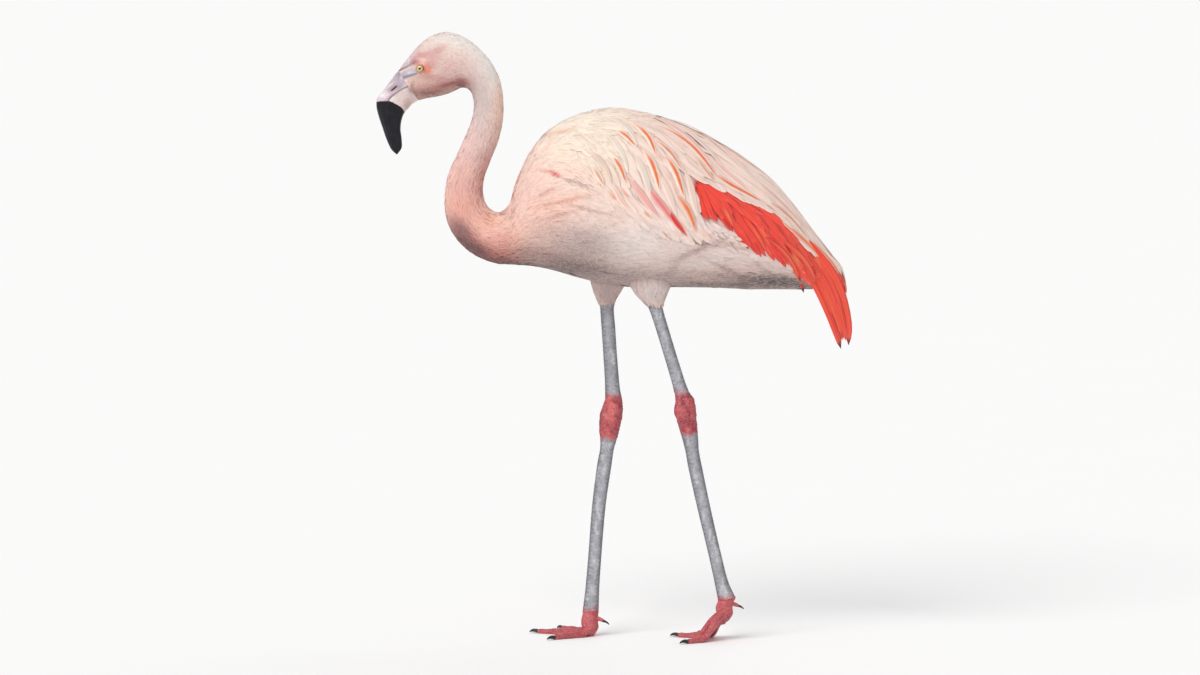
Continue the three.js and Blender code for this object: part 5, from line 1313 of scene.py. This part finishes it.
def tube(path, wide, thick, side, n=20, steps=40, round_end=0.0):
    """A closed tube along a path, its half width and half thickness as functions of the share of its length."""
    us = np.linspace(0, 1, steps)
    c = cr(path, us)
    tan = np.gradient(c, axis=0)
    tan /= np.linalg.norm(tan, axis=1, keepdims=True)
    out = np.cross(tan, np.asarray(side, float))
    out /= np.linalg.norm(out, axis=1, keepdims=True)
    across = np.cross(out, tan)
    ang = np.linspace(0, 2 * np.pi, n, endpoint=False)
    end = np.sqrt(np.clip(1 - ((us - (1 - round_end)) / round_end).clip(0, 1) ** 2, 0.02, 1)) if round_end else 1.0
    w, t = wide(us) * end, thick(us) * end
    V = c[:, None] + across[:, None] * (np.cos(ang)[None] * w[:, None])[..., None] + out[:, None] * (np.sin(ang)[None] * t[:, None])[..., None]
    V = np.concatenate([c[:1, None] + (V[:1] - c[:1, None]) * 0.01, V, c[-1:, None] + (V[-1:] - c[-1:, None]) * 0.01])
    R = len(V)
    idx = np.arange(R * n).reshape(R, n)
    nxt = np.roll(idx, -1, 1)
    Q = np.stack([idx[:-1], nxt[:-1], nxt[1:], idx[1:]], -1).reshape(-1, 4)
    return V.reshape(-1, 3), Q


def web_sheet(a, b, deep):
    ua, va = np.meshgrid(np.linspace(0, 1, 30), np.linspace(0, 1, 30), indexing="ij")
    end = 0.86 - deep * 4 * va * (1 - va)
    u = 0.04 + ua * (end - 0.04)
    w = (va * 1.1 - 0.05)[..., None]
    q = cr(a, u) * (1 - w) + cr(b, u) * w
    sag = np.maximum(0, q[..., 2] - 4.4) * 0.35 * 4 * va * (1 - va)
    z = np.maximum(-1, q[..., 2] - 3.1 - sag) + 0.4
    thick = WEB_T * (1 - 0.35 * ua * 4 * va * (1 - va))
    crease = 0.35 * np.sin(va * 26 + ua * 3) * np.sin(np.pi * va) * ua
    top, low = q.copy(), q.copy()
    top[..., 2], low[..., 2] = z + thick / 2 + crease, z - thick / 2
    n = 30
    V = np.concatenate([top.reshape(-1, 3), low.reshape(-1, 3)])
    i = np.arange(n * n).reshape(n, n)
    quads = [np.stack([i[:-1, :-1], i[1:, :-1], i[1:, 1:], i[:-1, 1:]], -1).reshape(-1, 4), np.stack([i[:-1, :-1], i[:-1, 1:], i[1:, 1:], i[1:, :-1]], -1).reshape(-1, 4) + n * n]
    for e in (i[0], i[-1], i[:, 0], i[:, -1]):
        quads.append(np.stack([e[:-1], e[1:], e[1:] + n * n, e[:-1] + n * n], -1))
    return V, np.concatenate(quads)


def foot_piece(spec, name):
    paths = [toe_path(spec, L, yaw) for L, yaw in zip(LENGTHS, spec["yaws"])]
    shapes = [tube(p, toe_radius, lambda u: toe_radius(u) * FLAT, (0, 1, 0), round_end=0.05) for p in paths]
    shapes += [web_sheet(paths[0], paths[1], 0.16), web_sheet(paths[1], paths[2], 0.16)]
    jx, jz, y, last = spec["joint"][0], spec["joint"][1], spec["side"] * FOOT_Y, spec["leg"][-1]
    rows = [(last[0] + 0.2, spec["hock"] + 3, last[2] - 0.2, last[3] + 3, 8.6), (last[0] + 0.2, spec["hock"] - 0.4, last[2] - 0.2, last[3] - 0.4, 8.8), (jx - 13.5, jz + 9, jx + 11.5, jz + 12, 10.6), (jx - 12, jz, jx + 12.5, jz, 11.2),
            (jx - 8, jz - 8, jx + 9, jz - 8, 9.6), (jx - 4.5, jz - 13.2, jx + 5, jz - 13.4, 6.5)]
    k = Loft([(*r, 0.5) for r in rows], (y, y))
    V, Q, *_ = loft_mesh(k, np.linspace(0, 5, 40), 32, lambda T, p: 0 * T)
    shapes.append((V, Q))
    hx, hz, o = jx + 9, jz + 13, -1 if y > 0 else 1
    hind = np.array([(hx - 6, y, hz + 1), (hx + 5, y + 2 * o, hz), (hx + 12, y + 4 * o, hz - 3)], float) - np.array([MID, 0, 0])
    shapes.append(tube(hind, lambda t: 4.2 - 1.4 * t, lambda t: 3.8 - 1.2 * t, (0, 1, 0), steps=16, round_end=0.15))
    Vs, Qs, base = [], [], 0
    for V, Q in shapes:
        Vs.append(V), Qs.append(Q + base)
        base += len(V)
    raw = mesh("raw", np.concatenate(Vs), np.concatenate(Qs))
    pieces.remove(raw)
    mod = raw.modifiers.new("r", "REMESH")
    mod.mode, mod.voxel_size = "VOXEL", 0.00092
    sm = raw.modifiers.new("s", "SMOOTH")
    sm.factor, sm.iterations = 0.5, 3
    ev = raw.evaluated_get(bpy.context.evaluated_depsgraph_get())
    me = ev.to_mesh()
    n = len(me.vertices)
    co = np.empty(n * 3, np.float32)
    me.vertices.foreach_get("co", co)
    no = np.empty(n * 3, np.float32)
    me.vertices.foreach_get("normal", no)
    co, no = co.reshape(-1, 3).astype(float) * 1000, no.reshape(-1, 3).astype(float)
    starts = np.empty(len(me.polygons), np.int32)
    totals = np.empty(len(me.polygons), np.int32)
    me.polygons.foreach_get("loop_start", starts)
    me.polygons.foreach_get("loop_total", totals)
    li = np.empty(len(me.loops), np.int32)
    me.loops.foreach_get("vertex_index", li)
    quads = li.reshape(-1, 4) if (totals == 4).all() else None
    ev.to_mesh_clear()
    bpy.data.objects.remove(raw, do_unlink=True)
    # how near each point is to a toe's middle line, and how far along it
    best, along = np.full(n, 1e9), np.zeros(n)
    for p, L in zip(paths, LENGTHS):
        us = np.linspace(0, 1, 160)
        c = cr(p, us)
        d = np.hypot(co[:, None, 0] - c[None, :, 0], co[:, None, 1] - c[None, :, 1])
        j = d.argmin(1)
        near = d[np.arange(n), j] / toe_radius(us[j])
        better = near < best
        best, along = np.where(better, near, best), np.where(better, us[j] * L, along)
    toe = np.clip((1.15 - best) / 0.25, 0, 1)
    top = np.clip(no[:, 2] * 1.5 + 0.2, 0, 1)
    pitch = 4.4
    ring = np.exp(-((((along / pitch) % 1.0) - 0.5) / 0.13) ** 2)
    reach = np.hypot(co[:, 0] - (jx - MID), co[:, 1] - y)
    far = np.clip((reach - 12) / 6, 0, 1)
    groove = ring * toe * top * far
    pads = 0.35 * (vnoise(co, 0.45, 21) - 0.5)
    h = -0.45 * groove + pads * (co[:, 2] > 0.6) + (vnoise(co, 0.16, 22) - 0.5) * 1.0 * (1 - far) * np.clip(co[:, 2] - 2, 0, 1)
    # fan-like creases in the webs
    ang = np.arctan2(co[:, 1] - y, -(co[:, 0] - (jx - MID)))
    web = (1 - toe) * np.clip(no[:, 2], 0, 1) * np.clip((reach - 16) / 10, 0, 1)
    h += web * 0.22 * np.sin(ang * 46 + np.sin(reach * 0.2) * 0.8)
    co = co + no * h[:, None]
    co[:, 2] = np.maximum(co[:, 2], 0.0)
    blotch = vnoise(co, 0.08, 23)[:, None]
    c = lin((182, 62, 72)) * (1 - blotch) + lin((208, 90, 96)) * blotch
    # webs a little paler between the toes, the toes' joints darker
    wcol = lin((206, 104, 110))
    w = (web * 0.55)[:, None]
    c = c * (1 - w) + wcol * w
    sole = np.clip(-no[:, 2], 0, 1)[:, None] * 0.5
    c = c * (1 - sole) + lin((190, 110, 110)) * sole
    ob = mesh("foot_" + name + "_skin", co, quads, None, {"c_tint": c, "groove": groove, "net": np.clip(1 - groove, 0, 1) * (0.5 + 0.5 * toe)}, m_leg)
    finish_piece(ob, "leg_red", "foot_" + name)
    return paths, hind, o


def claw_material():
    m = Nodes("claw_horn")
    n = m.noise(420.0, 4.0)
    col = m.mix(m.ramp(n, 0.3, 0.8), (0.012, 0.010, 0.012), (0.05, 0.042, 0.045))
    m.link(col, m.b.inputs["Base Color"])
    m.bump(n, 0.2, 0.0003)
    m.set(Roughness=0.36, Specular_IOR_Level=0.45)
    return m.m


m_claw = claw_material()
for spec in (FORE, HIND):
    name = spec["names"]
    leg_piece(spec, name)
    paths, hind, o = foot_piece(spec, name)
    Vs, Qs, base = [], [], 0
    for p, yaw in zip(paths, spec["yaws"]):
        a = math.radians(yaw)
        at = lambda k, z: (p[-1][0] - math.cos(a) * k, p[-1][1] - math.sin(a) * k, z)
        V, Q = tube(np.array([at(-2.2, 3.2), at(3.8, 4.0), at(8.2, 3.3), at(11.8, 1.3)]), lambda t: 3.35 * (1 - t**1.7 * 0.82), lambda t: 2.9 * (1 - t**1.7 * 0.78), (0, 1, 0), n=20, steps=24, round_end=0.06)
        V[:, 2] = np.maximum(V[:, 2], 0.02)
        Vs.append(V), Qs.append(Q + base)
        base += len(V)
    h = hind[-1]
    V, Q = tube(np.array([(h[0] - 1.5, h[1], h[2] + 0.6), (h[0] + 4, h[1] + o, h[2] - 1.6), (h[0] + 8, h[1] + 2 * o, h[2] - 5)]), lambda t: 2.4 * (1 - t * 0.75), lambda t: 2.2 * (1 - t * 0.7), (0, 1, 0), n=16, steps=16, round_end=0.08)
    Vs.append(V), Qs.append(Q + base)
    ob = mesh("claws_" + name, np.concatenate(Vs), np.concatenate(Qs), None, None, m_claw)
    finish_piece(ob, "claw", f"claw_inner_{name}", f"claw_middle_{name}", f"claw_outer_{name}", f"claw_hind_{name}")

# ------------------------------------------------------------------------------------------------ stage, light, camera
def stage_material():
    m = Nodes("stage_paper")
    n = m.noise(3.0, 2.0)
    col = m.mix(n, (0.975, 0.978, 0.985), (0.985, 0.988, 0.995))
    m.link(col, m.b.inputs["Base Color"])
    m.set(Roughness=0.9, Specular_IOR_Level=0.1)
    return m.m


xs = np.linspace(-60.0, 60.0, 9)
V = np.stack(np.broadcast_arrays(xs[None, :], xs[:, None], np.full((9, 9), -0.0002)), -1).reshape(-1, 3) * 1000
i = np.arange(81).reshape(9, 9)
Q = np.stack([i[:-1, :-1], i[:-1, 1:], i[1:, 1:], i[1:, :-1]], -1).reshape(-1, 4)
floor = mesh("studio_floor", V, Q, None, None, stage_material())
pieces.remove(floor)


def sun(name, at, strength, angle, colour=(1, 1, 1)):
    l = bpy.data.lights.new(name, "SUN")
    l.energy, l.angle, l.color = strength, math.radians(angle), colour
    o = bpy.data.objects.new(name, l)
    o.location = at
    o.rotation_euler = (Vector((0, 0, 0.5)) - Vector(at)).to_track_quat("-Z", "Y").to_euler()
    bpy.context.scene.collection.objects.link(o)
    return o


sun("key", (-2.0, -2.6, 3.6), 1.78, 38, (1.0, 0.985, 0.96))
sun("back", (1.6, 2.6, 3.0), 0.55, 60)
world = bpy.data.worlds.new("studio")
world.use_nodes = True
nt = world.node_tree
bg = nt.nodes["Background"]
bg.inputs["Color"].default_value = (1.0, 1.0, 1.0, 1.0)
bg.inputs["Strength"].default_value = 0.49
seen = nt.nodes.new("ShaderNodeBackground")
seen.inputs["Color"].default_value = (1.0, 1.0, 1.0, 1.0)
seen.inputs["Strength"].default_value = 0.96
rays, both = nt.nodes.new("ShaderNodeLightPath"), nt.nodes.new("ShaderNodeMixShader")
nt.links.new(rays.outputs["Is Camera Ray"], both.inputs[0])
nt.links.new(bg.outputs[0], both.inputs[1])
nt.links.new(seen.outputs[0], both.inputs[2])
nt.links.new(both.outputs[0], nt.nodes["World Output"].inputs[0])
bpy.context.scene.world = world
bpy.context.scene.view_settings.view_transform = "Standard"
bpy.context.scene.view_settings.look = "None"

cam = bpy.data.cameras.new("camera")
cam.lens, cam.sensor_width = 168.3, 36.0
camera = bpy.data.objects.new("camera", cam)
camera.location = (-0.0217, -8.4 * math.cos(LOOK), 0.4540 + 8.4 * math.sin(LOOK))
camera.rotation_euler = (math.radians(90) - LOOK, 0.0, 0.0)
bpy.context.scene.collection.objects.link(camera)
bpy.context.scene.camera = camera

bpy.context.view_layer.update()
total = sum(len(o.data.loop_triangles) if o.data.loop_triangles else sum(len(p.vertices) - 2 for p in o.data.polygons) for o in pieces)
print("triangles", total, {o.name: sum(len(p.vertices) - 2 for p in o.data.polygons) for o in pieces})
